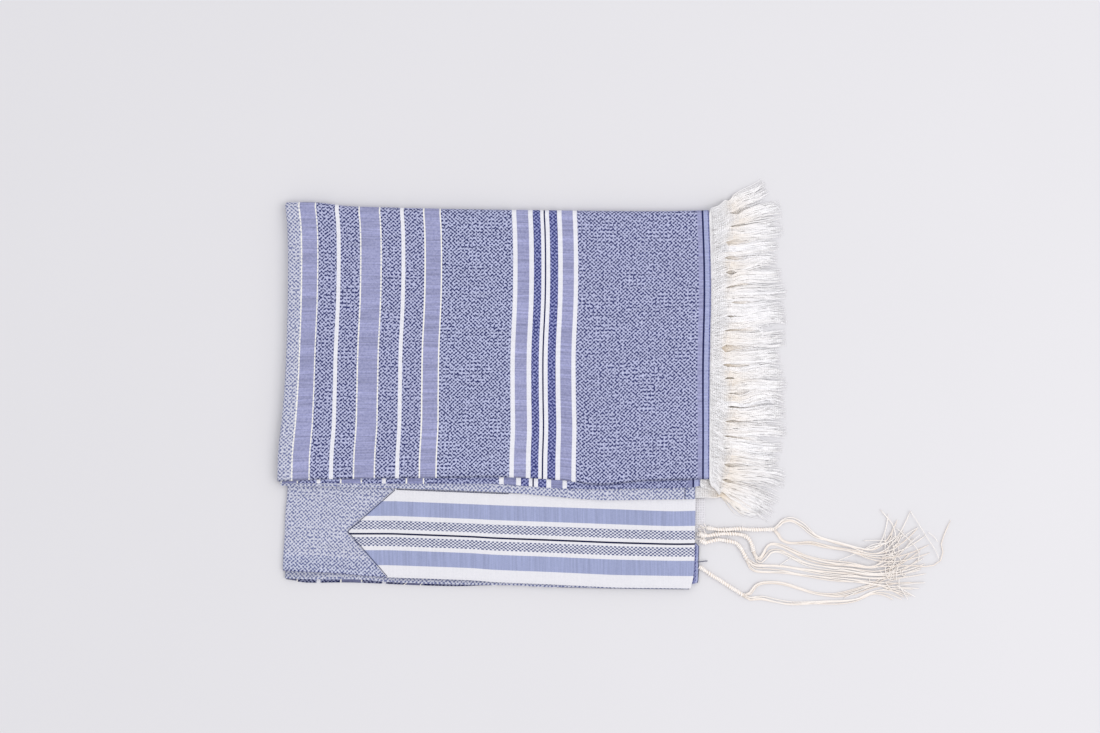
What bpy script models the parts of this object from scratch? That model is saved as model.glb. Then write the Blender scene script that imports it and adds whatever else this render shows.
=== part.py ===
"""A tallit, the Jewish prayer shawl, folded in four along its length, folded once more across
its width, and laid flat. Sizes are in millimetres and are turned to metres as the points are
placed. +X runs along the shawl towards its fringed ends, +Y runs from the neck edge to the
cross fold, and +Z is up from the surface that the shawl lies on.

From the top, the layers of the upper half are a fringed end panel, the other end panel, and
two layers of the light middle. The lower half has them the other way up, so the middle with
its neckband lies on top and the first end panel lies on the surface."""

import math

import bmesh
import bpy

MM = 0.001

# The cloth. Four layers make a pile, and the cross fold lays the pile on itself.
CLOTH = 1.2  # wall of one layer
GAP = 0.3  # air between two layers, and at each seam
PITCH = CLOTH + GAP
PILE = 4 * PITCH - GAP
STACK = 2 * PILE + GAP
BAND = 1.0  # wall of the neckband, or atara, and of the corner patch

# The folds.
CROSS_R = STACK / 2  # outer radius of the cross fold
OUTER_FOLD_R = PILE / 2  # radius of a fold that goes round the whole pile
INNER_FOLD_R = (2 * CLOTH + GAP) / 2  # radius of a fold of two layers
FOLD_SEAM = 1.0  # how far a lower layer stops short of the cross fold
FOLD_INSET = 2.4  # how far inside a fold round the whole pile the next layer ends
CORE_GAP = 0.6  # air round the hidden layers, inside the folds

# Edges of the upper half, seen from above. Rows of (y, x).
FLAP_LEFT = [
    (-95.0, -360.3), (-63.0, -359.3), (-25.0, -355.2), (14.0, -352.0), (65.0, -349.9),
    (117.0, -348.8), (168.0, -349.0), (190.0, -350.5), (204.0, -352.5),
]
FLAP_RIGHT = [(-95.0, 102.4), (14.0, 102.9), (78.0, 103.4), (142.0, 102.8), (194.0, 101.2)]
SECOND_RIGHT = [(-100.0, 91.5), (195.0, 91.5)]
THIRD_RIGHT = [(-115.0, 86.8), (195.0, 86.8)]
# Rows of (x, y).
FOLD_EDGE = [
    (-353.0, 204.4), (-319.0, 204.2), (-302.0, 202.2), (-285.0, 200.2), (-250.0, 199.0),
    (-165.0, 196.9), (-79.0, 195.8), (41.0, 194.7), (103.0, 195.8),
]
FLAP_HEM = [
    (-360.0, -94.6), (-304.0, -92.0), (-186.0, -90.6), (-122.0, -89.9), (-58.0, -93.1),
    (-20.0, -97.9), (28.0, -94.2), (103.0, -92.0),
]
SECOND_HEM = [
    (-350.0, -96.3), (-229.0, -96.8), (-122.0, -97.2), (-90.0, -99.8), (-47.0, -102.2),
    (28.0, -102.2), (81.0, -101.0), (92.0, -99.0),
]
THIRD_HEM = [
    (-350.0, -99.0), (-288.0, -100.5), (-234.0, -101.8), (-116.0, -106.4), (-58.0, -111.3),
    (-15.0, -114.5), (39.0, -114.0), (87.0, -113.4),
]
HIDDEN_TOP_HEM = [(-350.0, -97.5), (87.0, -99.5)]
THIRD_REACH = 0.97  # share of the flat that the third layer covers before the hidden fold

# Edges of the lower half. Rows of (y, x).
LOWER_LEFT = [
    (-205.0, -354.9), (-179.0, -354.7), (-153.0, -353.1), (-127.0, -352.0), (-102.0, -349.9),
    (0.0, -350.3), (100.0, -348.4), (200.0, -350.8),
]
LOWER_FOLD = [(-209.0, 81.0), (-195.0, 84.1), (-163.0, 85.4), (-113.0, 86.4), (195.0, 86.8)]
INNER_RIGHT = [(-204.0, 88.8), (-180.0, 90.5), (-160.0, 91.0), (195.0, 91.5)]
BOTTOM_RIGHT = [(-209.0, 86.0), (-160.0, 88.7), (-105.0, 88.7), (-60.0, 93.0), (195.0, 101.0)]
# Rows of (x, y).
NECK_HEM = [(-355.0, -190.0), (-304.0, -192.5), (-250.0, -196.4), (82.0, -207.6)]
HIDDEN_HEM = [
    (-352.0, -197.5), (-288.0, -198.5), (-240.0, -203.5), (-138.0, -205.0), (82.0, -208.3),
]
INNER_HEM = [(-352.0, -199.5), (-271.0, -202.0), (-138.0, -205.5), (90.0, -208.6)]
BOTTOM_HEM = [
    (-352.0, -201.7), (-271.0, -203.8), (-216.0, -205.4), (-138.0, -206.5), (28.0, -208.3),
    (82.0, -209.4),
]
CORE_LEFT, CORE_RIGHT = -343.9, 77.6  # ends of the hidden layers, inside the side folds

# The neckband: a strip with a pointed end along the neck edge. Rows of (x, y).
BAND_TIP = (-286.0, -148.1)
BAND_TOP = [(-234.1, -102.6), (-115.6, -107.2), (0.0, -110.8), (87.7, -113.6)]
BAND_HEM = [(-243.0, -197.3), (-120.0, -201.8), (0.0, -206.2), (82.3, -209.3)]
# Rows of (y, x).
BAND_FOLD = [(-209.3, 82.3), (-195.0, 85.4), (-163.0, 86.7), (-113.0, 87.7)]
TIP_SHARE = 0.48  # how far down the band its tip is

# The corner patch: sheer net, sewn under the end of the inner panel.
PATCH_LEFT, PATCH_RIGHT = 89.3, 98.0
PATCH_TOP, PATCH_HEM = -113.4, -160.5

# Soft waves left in the folded cloth. They swell the whole pile, the top layer most.
# Rows of (x, y, turn in degrees, half length, half width, swell as a share of the height).
WAVES = [
    (-345.0, 60.0, 90.0, 190.0, 16.0, 0.05),
    (-150.0, 185.0, 0.0, 240.0, 14.0, 0.05),
    (-215.0, 120.0, 22.0, 150.0, 34.0, -0.06),
    (-60.0, 40.0, -30.0, 130.0, 38.0, 0.05),
    (-20.0, -98.0, 4.0, 80.0, 36.0, 0.05),
    (35.0, 110.0, 60.0, 90.0, 30.0, -0.05),
    (-260.0, -20.0, -12.0, 120.0, 30.0, 0.04),
    (60.0, -40.0, 80.0, 80.0, 24.0, 0.04),
    (-120.0, -160.0, -3.0, 170.0, 26.0, 0.05),
    (-320.0, -150.0, 70.0, 60.0, 22.0, -0.05),
]

# How finely the walls are divided.
COLUMNS = 15  # points across a panel
WRAP_STEPS = 5  # steps round a fold at the side
CROSS_STEPS = 6  # steps round the cross fold
FOLD_STEPS = 3  # steps round a fold of two layers

# The fringe. A row of tassels grows from a narrow heading strip; each narrows to a knot and
# then opens into its locks.
STRIP = 2.0  # width of the heading strip
KNOT, KNOT_RISE, KNOT_REACH = 2.2, 1.5, 2.2  # half width, half height and half length
LOCK = 0.5  # half thickness of a lock
LOCK_SHARE = 0.36  # half width of a lock, as a share of the room it has
LOCK_STEPS = [0.33, 0.75, 1.0]  # where a lock's sections are, from its knot to its tip
FLOOR_Z = 1.0  # height of the middle of a strand that lies on the surface
TOP_LOCKS, TOP_KNOT_Z, TOP_REST_Z = 4, 4.9, 3.4
LOW_LOCKS, LOW_KNOT_Z, LOW_REST_Z = 3, 1.6, 1.1
# Rows of (knot x, knot y, tip x, tip y, half spread at the tip).
TASSELS = [
    (125.2, 200.1, 161.5, 219.4, 9.0), (132.7, 186.2, 176.6, 198.0, 8.5),
    (127.3, 171.2, 178.7, 176.6, 8.2), (123.1, 153.0, 173.3, 157.3, 7.5),
    (123.1, 137.0, 172.3, 141.2, 6.4), (125.2, 120.9, 176.6, 125.2, 7.4),
    (122.0, 104.9, 181.9, 109.1, 7.2), (123.1, 89.9, 179.8, 93.1, 6.6),
    (125.2, 74.9, 181.9, 79.2, 6.4), (119.8, 58.9, 180.8, 59.9, 8.4),
    (119.8, 37.5, 174.4, 40.7, 8.0), (122.0, 22.5, 178.7, 23.5, 7.0),
    (125.2, 7.5, 181.9, 8.6, 6.4), (125.2, -7.5, 179.8, -6.4, 7.0),
    (126.3, -22.5, 180.8, -22.5, 7.4), (122.0, -38.5, 181.9, -40.7, 7.6),
    (120.9, -53.0, 177.6, -57.8, 6.8), (124.1, -67.4, 174.4, -72.8, 7.0),
    (120.9, -85.6, 179.8, -93.1, 9.3), (116.6, -102.7, 173.3, -122.0, 11.0),
]
# The lower row is even, and leans. Rows of (y of a root, shift of its tip).
LOW_LEAN = [(-97.0, -36.0), (-60.0, -13.0), (0.0, -3.0), (120.0, 7.0), (190.0, 16.0)]
LOW_COUNT = 13
LOW_KNOT_X, LOW_TIP_X = 114.0, 160.0

# The corner cords: a wound length with five knots that opens into eight strands.
CORD_R, CORD_KNOT = 1.55, 0.55  # radius of the wound length, and what a knot adds
KNOTS = [0.04, 0.27, 0.5, 0.73, 0.97]  # where the knots are along the wound length
KNOT_SHARE = 0.045  # half length of a knot, as a share of the wound length
CORD_RINGS = 13
CORD_REST_Z = 2.3
STRAND = 0.42  # half width of a strand
STRAND_PITCH = 1.25
ROOT_PITCH = 1.1
STRAND_STEPS = 11
LEVEL = 1.25  # height of one cord's strands above the next cord's, where all four meet
MEET_FROM, MEET_TO = 225.0, 268.0  # x over which the strands climb to their level

# Each route is rows of (x, y). The left hank and the right hank have four strands each, and
# an end is where one strand stops, from the left of the left hank to the right of the right.
CORDS = {
    "tzitzit_a": {
        "wound": [
            (99.4, -144.5), (107.0, -145.7), (114.5, -146.6), (124.1, -146.2), (133.8, -145.5),
            (143.4, -146.2), (151.9, -146.6), (162.6, -146.4), (171.2, -146.2),
        ],
        "left": [
            (176.5, -142.8), (181.3, -138.0), (190.2, -136.2), (202.0, -141.7), (209.7, -148.2),
            (217.2, -153.7), (229.0, -157.7), (249.3, -162.6), (269.6, -168.0),
        ],
        "right": [
            (175.5, -150.9), (178.6, -156.4), (185.6, -160.1), (196.9, -160.5), (210.8, -160.0),
            (224.7, -163.5), (237.5, -166.5), (249.3, -168.8), (269.6, -174.0),
        ],
        "ends": [
            (285.5, -125.0), (294.2, -129.5), (303.9, -135.9), (317.8, -126.8),
            (326.4, -144.2), (333.8, -153.0), (338.1, -162.6), (339.2, -171.2),
        ],
        "level": 3,
        "start_z": 2.2,
    },
    "tzitzit_b": {
        "wound": [
            (91.8, -151.2), (99.2, -153.0), (107.0, -151.9), (114.5, -151.1), (127.3, -150.9),
            (137.0, -152.2), (143.9, -155.7), (147.7, -162.6), (149.8, -170.2),
        ],
        "left": [
            (151.4, -175.4), (155.6, -177.6), (159.8, -172.6), (163.2, -165.6), (168.8, -162.0),
            (178.7, -163.9), (192.6, -170.2), (207.6, -176.7), (229.0, -181.5), (252.5, -184.0),
            (269.6, -186.7),
        ],
        "right": [
            (151.6, -178.8), (157.4, -181.6), (163.8, -176.6), (168.2, -171.6), (174.6, -170.0),
            (181.9, -171.8), (193.7, -177.2), (207.6, -182.8), (229.0, -187.0), (252.5, -189.6),
            (269.6, -192.4),
        ],
        "ends": [
            (299.6, -142.3), (310.3, -147.7), (321.0, -155.2), (361.0, -136.5),
            (328.5, -169.1), (332.8, -176.6), (333.8, -183.0), (329.6, -189.4),
        ],
        "level": 2,
        "start_z": 3.4,
    },
    "tzitzit_c": {
        "wound": [
            (92.4, -157.6), (96.8, -160.6), (102.7, -159.2), (111.3, -157.3), (122.7, -158.8),
            (131.1, -161.1), (136.0, -166.5), (139.4, -172.4), (142.4, -178.2),
        ],
        "left": [
            (146.6, -182.0), (153.2, -184.6), (166.9, -185.0), (181.9, -186.4), (199.0, -188.9),
            (229.0, -192.6), (252.5, -195.2), (269.6, -197.9),
        ],
        "right": [
            (145.0, -185.1), (152.1, -189.9), (166.9, -191.5), (181.9, -192.6), (199.0, -194.9),
            (229.0, -198.1), (252.5, -200.7), (269.6, -203.3),
        ],
        "ends": [
            (318.9, -170.1), (326.4, -178.7), (331.7, -186.2), (334.9, -193.7),
            (333.8, -203.3), (327.4, -209.7), (319.9, -217.2), (311.4, -219.4),
        ],
        "level": 1,
        "start_z": 3.4,
    },
    "tzitzit_d": {
        "wound": [
            (91.6, -186.2), (97.4, -190.2), (104.6, -195.2), (112.9, -200.3), (120.9, -205.4),
            (130.5, -211.6), (138.6, -216.8),
        ],
        "left": [
            (144.4, -216.4), (148.2, -210.6), (152.4, -205.4), (159.8, -202.6), (173.3, -202.6),
            (185.1, -205.1), (199.0, -210.3), (215.1, -215.4), (235.4, -217.2), (252.5, -214.3),
            (269.6, -209.1),
        ],
        "right": [
            (143.6, -221.0), (150.2, -220.6), (158.8, -220.4), (173.3, -223.6), (188.3, -226.0),
            (205.4, -226.0), (229.0, -224.8), (244.0, -223.9), (260.0, -221.0), (271.8, -215.7),
        ],
        "ends": [
            (301.7, -185.1), (309.2, -190.5), (315.7, -196.9), (319.9, -203.3),
            (321.0, -210.8), (317.0, -218.5), (309.0, -221.5), (299.6, -221.8),
        ],
        "level": 0,
        "start_z": 2.3,
    },
}


# ---------------------------------------------------------------- drawing


def clear_scene():
    for thing in list(bpy.data.objects):
        bpy.data.objects.remove(thing)


def finish(name, color, roughness):
    """Makes a matt finish of one colour."""
    made = bpy.data.materials.new(name)
    made.use_nodes = True
    shader = made.node_tree.nodes["Principled BSDF"]
    shader.inputs["Base Color"].default_value = (*color, 1.0)
    shader.inputs["Roughness"].default_value = roughness
    shader.inputs["Metallic"].default_value = 0.0
    return made


def mix(a, b, share):
    return a + (b - a) * share


def ease(share):
    share = min(max(share, 0.0), 1.0)
    return share * share * (3 - 2 * share)


def curve(rows, at):
    """Reads the smooth line through (place, value) rows at one place, level past both ends."""
    if at <= rows[0][0]:
        return rows[0][1]
    if at >= rows[-1][0]:
        return rows[-1][1]
    i = max(k for k in range(len(rows) - 1) if rows[k][0] <= at)

    def slope(k):
        low, high = rows[max(k - 1, 0)], rows[min(k + 1, len(rows) - 1)]
        return (high[1] - low[1]) / (high[0] - low[0])

    span = rows[i + 1][0] - rows[i][0]
    t = (at - rows[i][0]) / span
    value = mix(rows[i][1], rows[i + 1][1], ease(t))
    return value + span * ((t**3 - 2 * t**2 + t) * slope(i) + (t**3 - t**2) * slope(i + 1))


def spread(count):
    return [i / (count - 1) for i in range(count)]


def turns(count):
    """Equal steps of a half turn, without the first."""
    return [math.pi * (i + 1) / count for i in range(count)]


def show(bm, name, material, sharp_from):
    """Turns a bmesh into a named object at the origin, with its faces pointing out."""
    bmesh.ops.recalc_face_normals(bm, faces=bm.faces[:])
    mesh = bpy.data.meshes.new(name)
    bm.to_mesh(mesh)
    bm.free()
    mesh.shade_smooth()
    mesh.set_sharp_from_angle(angle=math.radians(sharp_from))
    mesh.materials.append(material)
    made = bpy.data.objects.new(name, mesh)
    bpy.context.scene.collection.objects.link(made)


def grown(bm, faces, keep=False):
    """Extrudes a patch of faces by one step and returns its new faces. The first step out of an
    open sheet keeps the old faces, as the far end of the solid."""
    made = bmesh.ops.extrude_face_region(bm, geom=faces)["geom"]
    if not keep:
        bmesh.ops.delete(bm, geom=faces, context="FACES")
    return [f for f in made if isinstance(f, bmesh.types.BMFace)]


def corners(faces):
    return {v for f in faces for v in f.verts}


# ---------------------------------------------------------------- cloth


def swell(x, y):
    """The share by which the waves lift or press the pile at a place."""
    total = 0.0
    for wave_x, wave_y, turn, half_length, half_width, amount in WAVES:
        angle = math.radians(turn)
        dx, dy = x - wave_x, y - wave_y
        along_it = (dx * math.cos(angle) + dy * math.sin(angle)) / half_length
        across_it = (dy * math.cos(angle) - dx * math.sin(angle)) / half_width
        total += amount * math.exp(-along_it * along_it - across_it * across_it)
    return total


def placed(x, y, z):
    return (x * MM, y * MM, z * (1 + swell(x, y)) * MM)


def cloth(name, columns, rows, place, material):
    """A wall of cloth. A flat grid is given a second side, and place(column, row, side) then
    puts each point, where side is 0 on the outer face and 1 on the inner one."""
    bm = bmesh.new()
    wide, long = len(columns) - 1, len(rows) - 1
    bmesh.ops.create_grid(bm, x_segments=wide, y_segments=long, size=1.0)
    inner = corners(grown(bm, bm.faces[:], keep=True))
    for v in bm.verts:
        column = columns[round((v.co.x + 1) / 2 * wide)]
        row = rows[round((v.co.y + 1) / 2 * long)]
        v.co = place(column, row, 1 if v in inner else 0)
    show(bm, name, material, 40.0)


def side_fold(across, turn, radius, inward):
    """The depth of a point that goes round a fold at the left (across 0) or at the right
    (across 1), and how far outwards it moves."""
    swing = radius - inward
    outwards = -1 if across == 0.0 else 1
    return radius - swing * math.cos(turn), swing * math.sin(turn) * outwards


def fold_line(x):
    """Where the flat of the upper half ends and the cross fold begins to turn down."""
    return curve(FOLD_EDGE, x) - CROSS_R


def meet(across, up, low, high, left, right, guess):
    """The place at a share across and a share up of a panel with four curved edges."""
    x, y = guess
    for _ in range(4):
        y = mix(low(x), high(x), up)
        x = mix(left(y), right(y), across)
    return x, y


def flap_layer(name, columns, rows, hem, left, right, depth, material):
    """A layer of the upper half, at a depth from the outermost face of the folded pile. A
    column is (share across, turn round a side fold), and a row is (share up, turn round the
    cross fold)."""

    def place(column, row, side):
        across, side_turn = column
        up, cross_turn = row
        inward = side * CLOTH
        x, y = meet(across, up, lambda x: curve(hem, x), fold_line, left, right, (-120.0, 0.0))
        deep = inward
        if side_turn:
            radius = OUTER_FOLD_R if across == 0.0 else INNER_FOLD_R
            deep, shift = side_fold(across, side_turn, radius, inward)
            x += shift
        reach = CROSS_R - depth - deep
        return placed(x, y + reach * math.sin(cross_turn), CROSS_R + reach * math.cos(cross_turn))

    cloth(name, columns, rows, place, material)


def plan(count):
    return [(share, 0.0) for share in spread(count)]


def left_wrap(steps):
    return [(0.0, turn) for turn in reversed(turns(steps))]


def end_panel_top(material):
    """The outermost layer: one fringed quarter, round the left fold and the cross fold."""
    flap_layer(
        "end_panel_top",
        left_wrap(WRAP_STEPS) + plan(COLUMNS),
        plan(12) + [(1.0, turn) for turn in turns(CROSS_STEPS)],
        FLAP_HEM,
        lambda y: curve(FLAP_LEFT, y) + OUTER_FOLD_R,
        lambda y: curve(FLAP_RIGHT, y),
        0.0,
        material,
    )


def end_panel_second(material):
    """The other fringed quarter, under the first, set back a little from its fringed edge."""
    flap_layer(
        "end_panel_second",
        plan(COLUMNS),
        plan(9) + [(1.0, turn) for turn in turns(CROSS_STEPS)],
        SECOND_HEM,
        lambda y: curve(FLAP_LEFT, y) + FOLD_INSET,
        lambda y: curve(SECOND_RIGHT, y),
        PITCH,
        material,
    )


def body_third(material):
    """The light middle of the shawl, third from the top, round the centre fold at the right."""
    flap_layer(
        "body_third",
        plan(COLUMNS - 1) + [(1.0, turn) for turn in turns(FOLD_STEPS)],
        [(share * THIRD_REACH, 0.0) for share in spread(9)],
        THIRD_HEM,
        lambda y: curve(FLAP_LEFT, y) + FOLD_INSET,
        lambda y: curve(THIRD_RIGHT, y) - INNER_FOLD_R,
        2 * PITCH,
        material,
    )


def neck_panel(material):
    """The light middle of the shawl at the neck edge, round the left fold down to the surface
    and round the centre fold at the right."""
    shown_share = 0.3  # the stretch that the upper half leaves in view is divided more finely

    def place(column, row, side):
        across, side_turn = column
        inward = side * CLOTH
        x, y = meet(
            across,
            row,
            lambda x: curve(NECK_HEM, x),
            lambda x: fold_line(x) - FOLD_SEAM,
            lambda y: curve(LOWER_LEFT, y) + OUTER_FOLD_R,
            lambda y: curve(LOWER_FOLD, y) - INNER_FOLD_R,
            (-120.0, 0.0),
        )
        deep = inward
        if side_turn:
            radius = OUTER_FOLD_R if across == 0.0 else INNER_FOLD_R
            deep, shift = side_fold(across, side_turn, radius, inward)
            x += shift
        return placed(x, y, PILE - deep)

    columns = left_wrap(WRAP_STEPS) + plan(COLUMNS - 1)
    columns += [(1.0, turn) for turn in turns(FOLD_STEPS)]
    rows = [mix(0.0, shown_share, share) for share in spread(6)]
    rows += [mix(shown_share, 1.0, share) for share in spread(7)[1:]]
    cloth("neck_panel", columns, rows, place, material)


def lower_sheet(name, hem, right_edge, height, material):
    """A flat layer of the lower half, from its long edge to the cross fold."""

    def place(across, up, side):
        x, y = meet(
            across,
            up,
            lambda x: curve(hem, x),
            lambda x: fold_line(x) - FOLD_SEAM,
            lambda y: curve(LOWER_LEFT, y) + OUTER_FOLD_R + GAP,
            lambda y: curve(right_edge, y),
            (-120.0, 0.0),
        )
        return placed(x, y, height + CLOTH * (1 - side))

    cloth(name, spread(COLUMNS), spread(5), place, material)


def hidden_layers(material):
    """The layers that do not show, as one solid: a layer in the lower half and one in the
    upper, joined round the inside of the cross fold, with the neck panel slotted between. It
    is a row of sections across the folds, each an outline from its lower hem."""
    sections = 14
    radius = CROSS_R - 2 * PITCH - GAP
    lower, lower_top = 2 * PITCH, 2 * PITCH + CLOTH
    upper, upper_top = PILE + GAP, PILE + GAP + CLOTH

    def outline(x):
        turn_y = fold_line(x)
        step_y = mix(curve(THIRD_HEM, x), turn_y, THIRD_REACH) + CORE_GAP
        slot_y = turn_y - FOLD_SEAM + CORE_GAP
        hem_y, top_hem_y = curve(HIDDEN_HEM, x), curve(HIDDEN_TOP_HEM, x)
        points = [(mix(hem_y, turn_y, share), lower) for share in spread(9)[:-1]]
        for turn in [0.0] + turns(8):
            points.append((turn_y + radius * math.sin(turn), CROSS_R - radius * math.cos(turn)))
        points.append((step_y, CROSS_R + radius))
        back = [mix(step_y, top_hem_y, share) for share in spread(7)]
        points += [(y, upper_top) for y in back]
        points += [(y, upper) for y in reversed(back)]
        points.append((slot_y, upper))
        points += [(mix(slot_y, hem_y, share), lower_top) for share in spread(9)]
        return points

    bm = bmesh.new()
    number = bm.verts.layers.int.new("number")
    start = outline(CORE_LEFT)
    ring = [bm.verts.new(placed(CORE_LEFT, y, z)) for y, z in start]
    for k, v in enumerate(ring):
        v[number] = k
    faces = [bm.faces.new(ring)]
    for share in spread(sections)[1:]:
        x = mix(CORE_LEFT, CORE_RIGHT, share)
        points = outline(x)
        faces = grown(bm, faces, keep=share == spread(sections)[1])
        for v in corners(faces):
            v.co = placed(x, *points[v[number]])
    show(bm, "hidden_layers", material, 40.0)


def atara(material):
    """The woven neckband, bent over the centre fold at its right end."""
    radius = INNER_FOLD_R + GAP + BAND

    def place(column, down, side):
        across, side_turn = column
        if down < TIP_SHARE:
            lean, corner_x = (TIP_SHARE - down) / TIP_SHARE, BAND_TOP[0][0]
        else:
            lean, corner_x = (down - TIP_SHARE) / (1 - TIP_SHARE), BAND_HEM[0][0]
        x, y = meet(
            across,
            down,
            lambda x: curve(BAND_TOP, x),
            lambda x: curve(BAND_HEM, x),
            lambda y: mix(BAND_TIP[0], corner_x, lean),
            lambda y: curve(BAND_FOLD, y) - radius,
            (-120.0, -150.0),
        )
        deep = side * BAND
        if side_turn:
            deep, shift = side_fold(across, side_turn, radius, side * BAND)
            x += shift
        return placed(x, y, PILE + GAP + BAND - deep)

    columns = plan(COLUMNS - 1) + [(1.0, turn) for turn in turns(6)[:3]]
    rows = [0.0, 0.12, 0.24, 0.36, TIP_SHARE, 0.6, 0.72, 0.86, 1.0]
    cloth("atara", columns, rows, place, material)


def corner_patch(material):
    """The sheer patch that strengthens the corner where the knotted cords pass through."""

    def place(across, down, side):
        x, y = mix(PATCH_LEFT, PATCH_RIGHT, across), mix(PATCH_TOP, PATCH_HEM, down)
        return placed(x, y, BAND * (1 - side))

    cloth("corner_patch", spread(2), spread(4), place, material)


# ---------------------------------------------------------------- fringe


def heading(start, end):
    """The unit way from one point to the next, seen from above, and the way to its left."""
    dx, dy = end[0] - start[0], end[1] - start[1]
    length = math.hypot(dx, dy)
    return (dx / length, dy / length), (-dy / length, dx / length)


def fringe(name, top_z, edge, tassels, locks, knot_z, rest_z, material):
    """One row of tassels, from a heading strip parted from the edge of its panel. edge gives the
    strip's x at a y. A tassel is (y of its root, half the width of its root, knot, tip, half
    its spread at the tip)."""
    bm = bmesh.new()
    cells = len(tassels) * (locks + 1) - 1  # one cell for each lock, and one between tassels
    bmesh.ops.create_grid(bm, x_segments=cells, y_segments=1, size=1.0)
    across = bm.verts.layers.float.new("across")
    up = bm.verts.layers.float.new("up")
    middle_z = top_z - CLOTH / 2
    for v in bm.verts:
        which, cell = divmod(round((v.co.x + 1) / 2 * cells), locks + 1)
        v[across] = 2 * cell / locks - 1
        v[up] = 1.0 if v.co.y > 0 else -1.0
        y = tassels[which][0] + v[across] * tassels[which][1]
        v.co = (edge(y), y, middle_z + v[up] * CLOTH / 2)
    front = grown(bm, bm.faces[:], keep=True)
    for v in corners(front):
        v.co.x += STRIP
    front.sort(key=lambda f: f.calc_center_median().y)
    for which, tassel in enumerate(tassels):
        first = which * (locks + 1)
        faces = tassel_knot(bm, front[first : first + locks], edge, tassel, middle_z, knot_z, across, up)
        tassel_locks(bm, faces, tassel, locks, knot_z, rest_z, across, up)
    bmesh.ops.scale(bm, vec=(MM, MM, MM), verts=bm.verts[:])
    show(bm, name, material, 60.0)


def tassel_knot(bm, faces, edge, tassel, root_z, knot_z, across, up):
    """Draws one tassel together from the strip and through its knot."""
    root_y, half_root, knot, tip, _ = tassel
    ahead, left = heading(knot, tip)
    before = (knot[0] - KNOT_REACH * ahead[0], knot[1] - KNOT_REACH * ahead[1])
    after = (knot[0] + KNOT_REACH * ahead[0], knot[1] + KNOT_REACH * ahead[1])
    web = (mix(edge(root_y) + STRIP, before[0], 0.55), mix(root_y, before[1], 0.5))
    web_half = mix(half_root, KNOT, 0.5)
    # Rows of (place, height, half width, half thickness).
    rings = [
        (web, mix(root_z, knot_z, 0.55), web_half, CLOTH / 2),
        (before, knot_z, KNOT * 0.85, KNOT_RISE * 0.6),
        (knot, knot_z, KNOT * 1.15, KNOT_RISE),
        (after, knot_z, KNOT, LOCK * 1.6),
    ]
    for (x, y), z, half_width, half_height in rings:
        faces = grown(bm, faces)
        for v in corners(faces):
            side = v[across] * half_width
            lift = v[up] * half_height * (1 - 0.3 * v[across] ** 2)
            v.co = (x + left[0] * side, y + left[1] * side, z + lift)
    return faces


def tassel_locks(bm, faces, tassel, locks, knot_z, rest_z, across, up):
    """Opens the end of a knot into locks that fan out and lie down on the surface."""
    _, _, knot, tip, half_tip = tassel
    _, left = heading(knot, tip)
    for step in LOCK_STEPS:
        faces = bmesh.ops.extrude_discrete_faces(bm, faces=faces)["faces"]
        fan = mix(KNOT, half_tip, step**0.8)
        at_tip = step == LOCK_STEPS[-1]
        thin = 0.5 if at_tip else 1.0
        half_width = 2 * fan / locks * LOCK_SHARE * thin
        x, y = mix(knot[0], tip[0], step), mix(knot[1], tip[1], step)
        z = FLOOR_Z if at_tip else mix(knot_z, rest_z, ease(step / LOCK_STEPS[0]))
        for f in faces:
            centre = mark(f, across)
            for v in f.verts:
                side = centre * fan + (half_width if v[across] > centre else -half_width)
                v.co = (x + left[0] * side, y + left[1] * side, z + v[up] * LOCK * thin)


def mark(face, layer):
    """The middle of a face's marks."""
    return sum(v[layer] for v in face.verts) / len(face.verts)


def fringe_top(material):
    low, high = curve(FLAP_HEM, FLAP_RIGHT[0][1]) + 1.0, fold_line(FLAP_RIGHT[-1][1])
    room = (high - low) / len(TASSELS)
    rows = []
    for i, (knot_x, knot_y, tip_x, tip_y, half_tip) in enumerate(reversed(TASSELS)):
        root_y = low + room * (i + 0.5)
        rows.append((root_y, room / 2 - GAP, (knot_x, knot_y), (tip_x, tip_y), half_tip))

    def edge(y):
        return curve(FLAP_RIGHT, y) + GAP

    fringe("fringe_top", STACK, edge, rows, TOP_LOCKS, TOP_KNOT_Z, TOP_REST_Z, material)


def fringe_second(material):
    low, high = curve(SECOND_HEM, SECOND_RIGHT[0][1]) + 1.0, fold_line(SECOND_RIGHT[-1][1])
    room = (high - low) / LOW_COUNT
    rows = []
    for i in range(LOW_COUNT):
        root_y = low + room * (i + 0.5)
        lean = curve(LOW_LEAN, root_y)
        knot, tip = (LOW_KNOT_X, root_y + lean * 0.3), (LOW_TIP_X, root_y + lean)
        rows.append((root_y, room / 2 - GAP, knot, tip, room * 0.46))

    def edge(y):
        return curve(SECOND_RIGHT, y) + GAP

    top_z = STACK - PITCH
    fringe("fringe_second", top_z, edge, rows, LOW_LOCKS, LOW_KNOT_Z, LOW_REST_Z, material)


# ---------------------------------------------------------------- corner cords


def along(route, share):
    """A place on the smooth line through a route, by its share of the length."""
    marks = [0.0]
    for a, b in zip(route, route[1:]):
        marks.append(marks[-1] + math.dist(a, b))
    at = share * marks[-1]
    return tuple(curve([(m, p[axis]) for m, p in zip(marks, route)], at) for axis in (0, 1))


def left_of(route, share):
    """The way to the left of a route at a share of its length."""
    step = 0.01
    return heading(along(route, max(share - step, 0.0)), along(route, min(share + step, 1.0)))[1]


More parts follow.
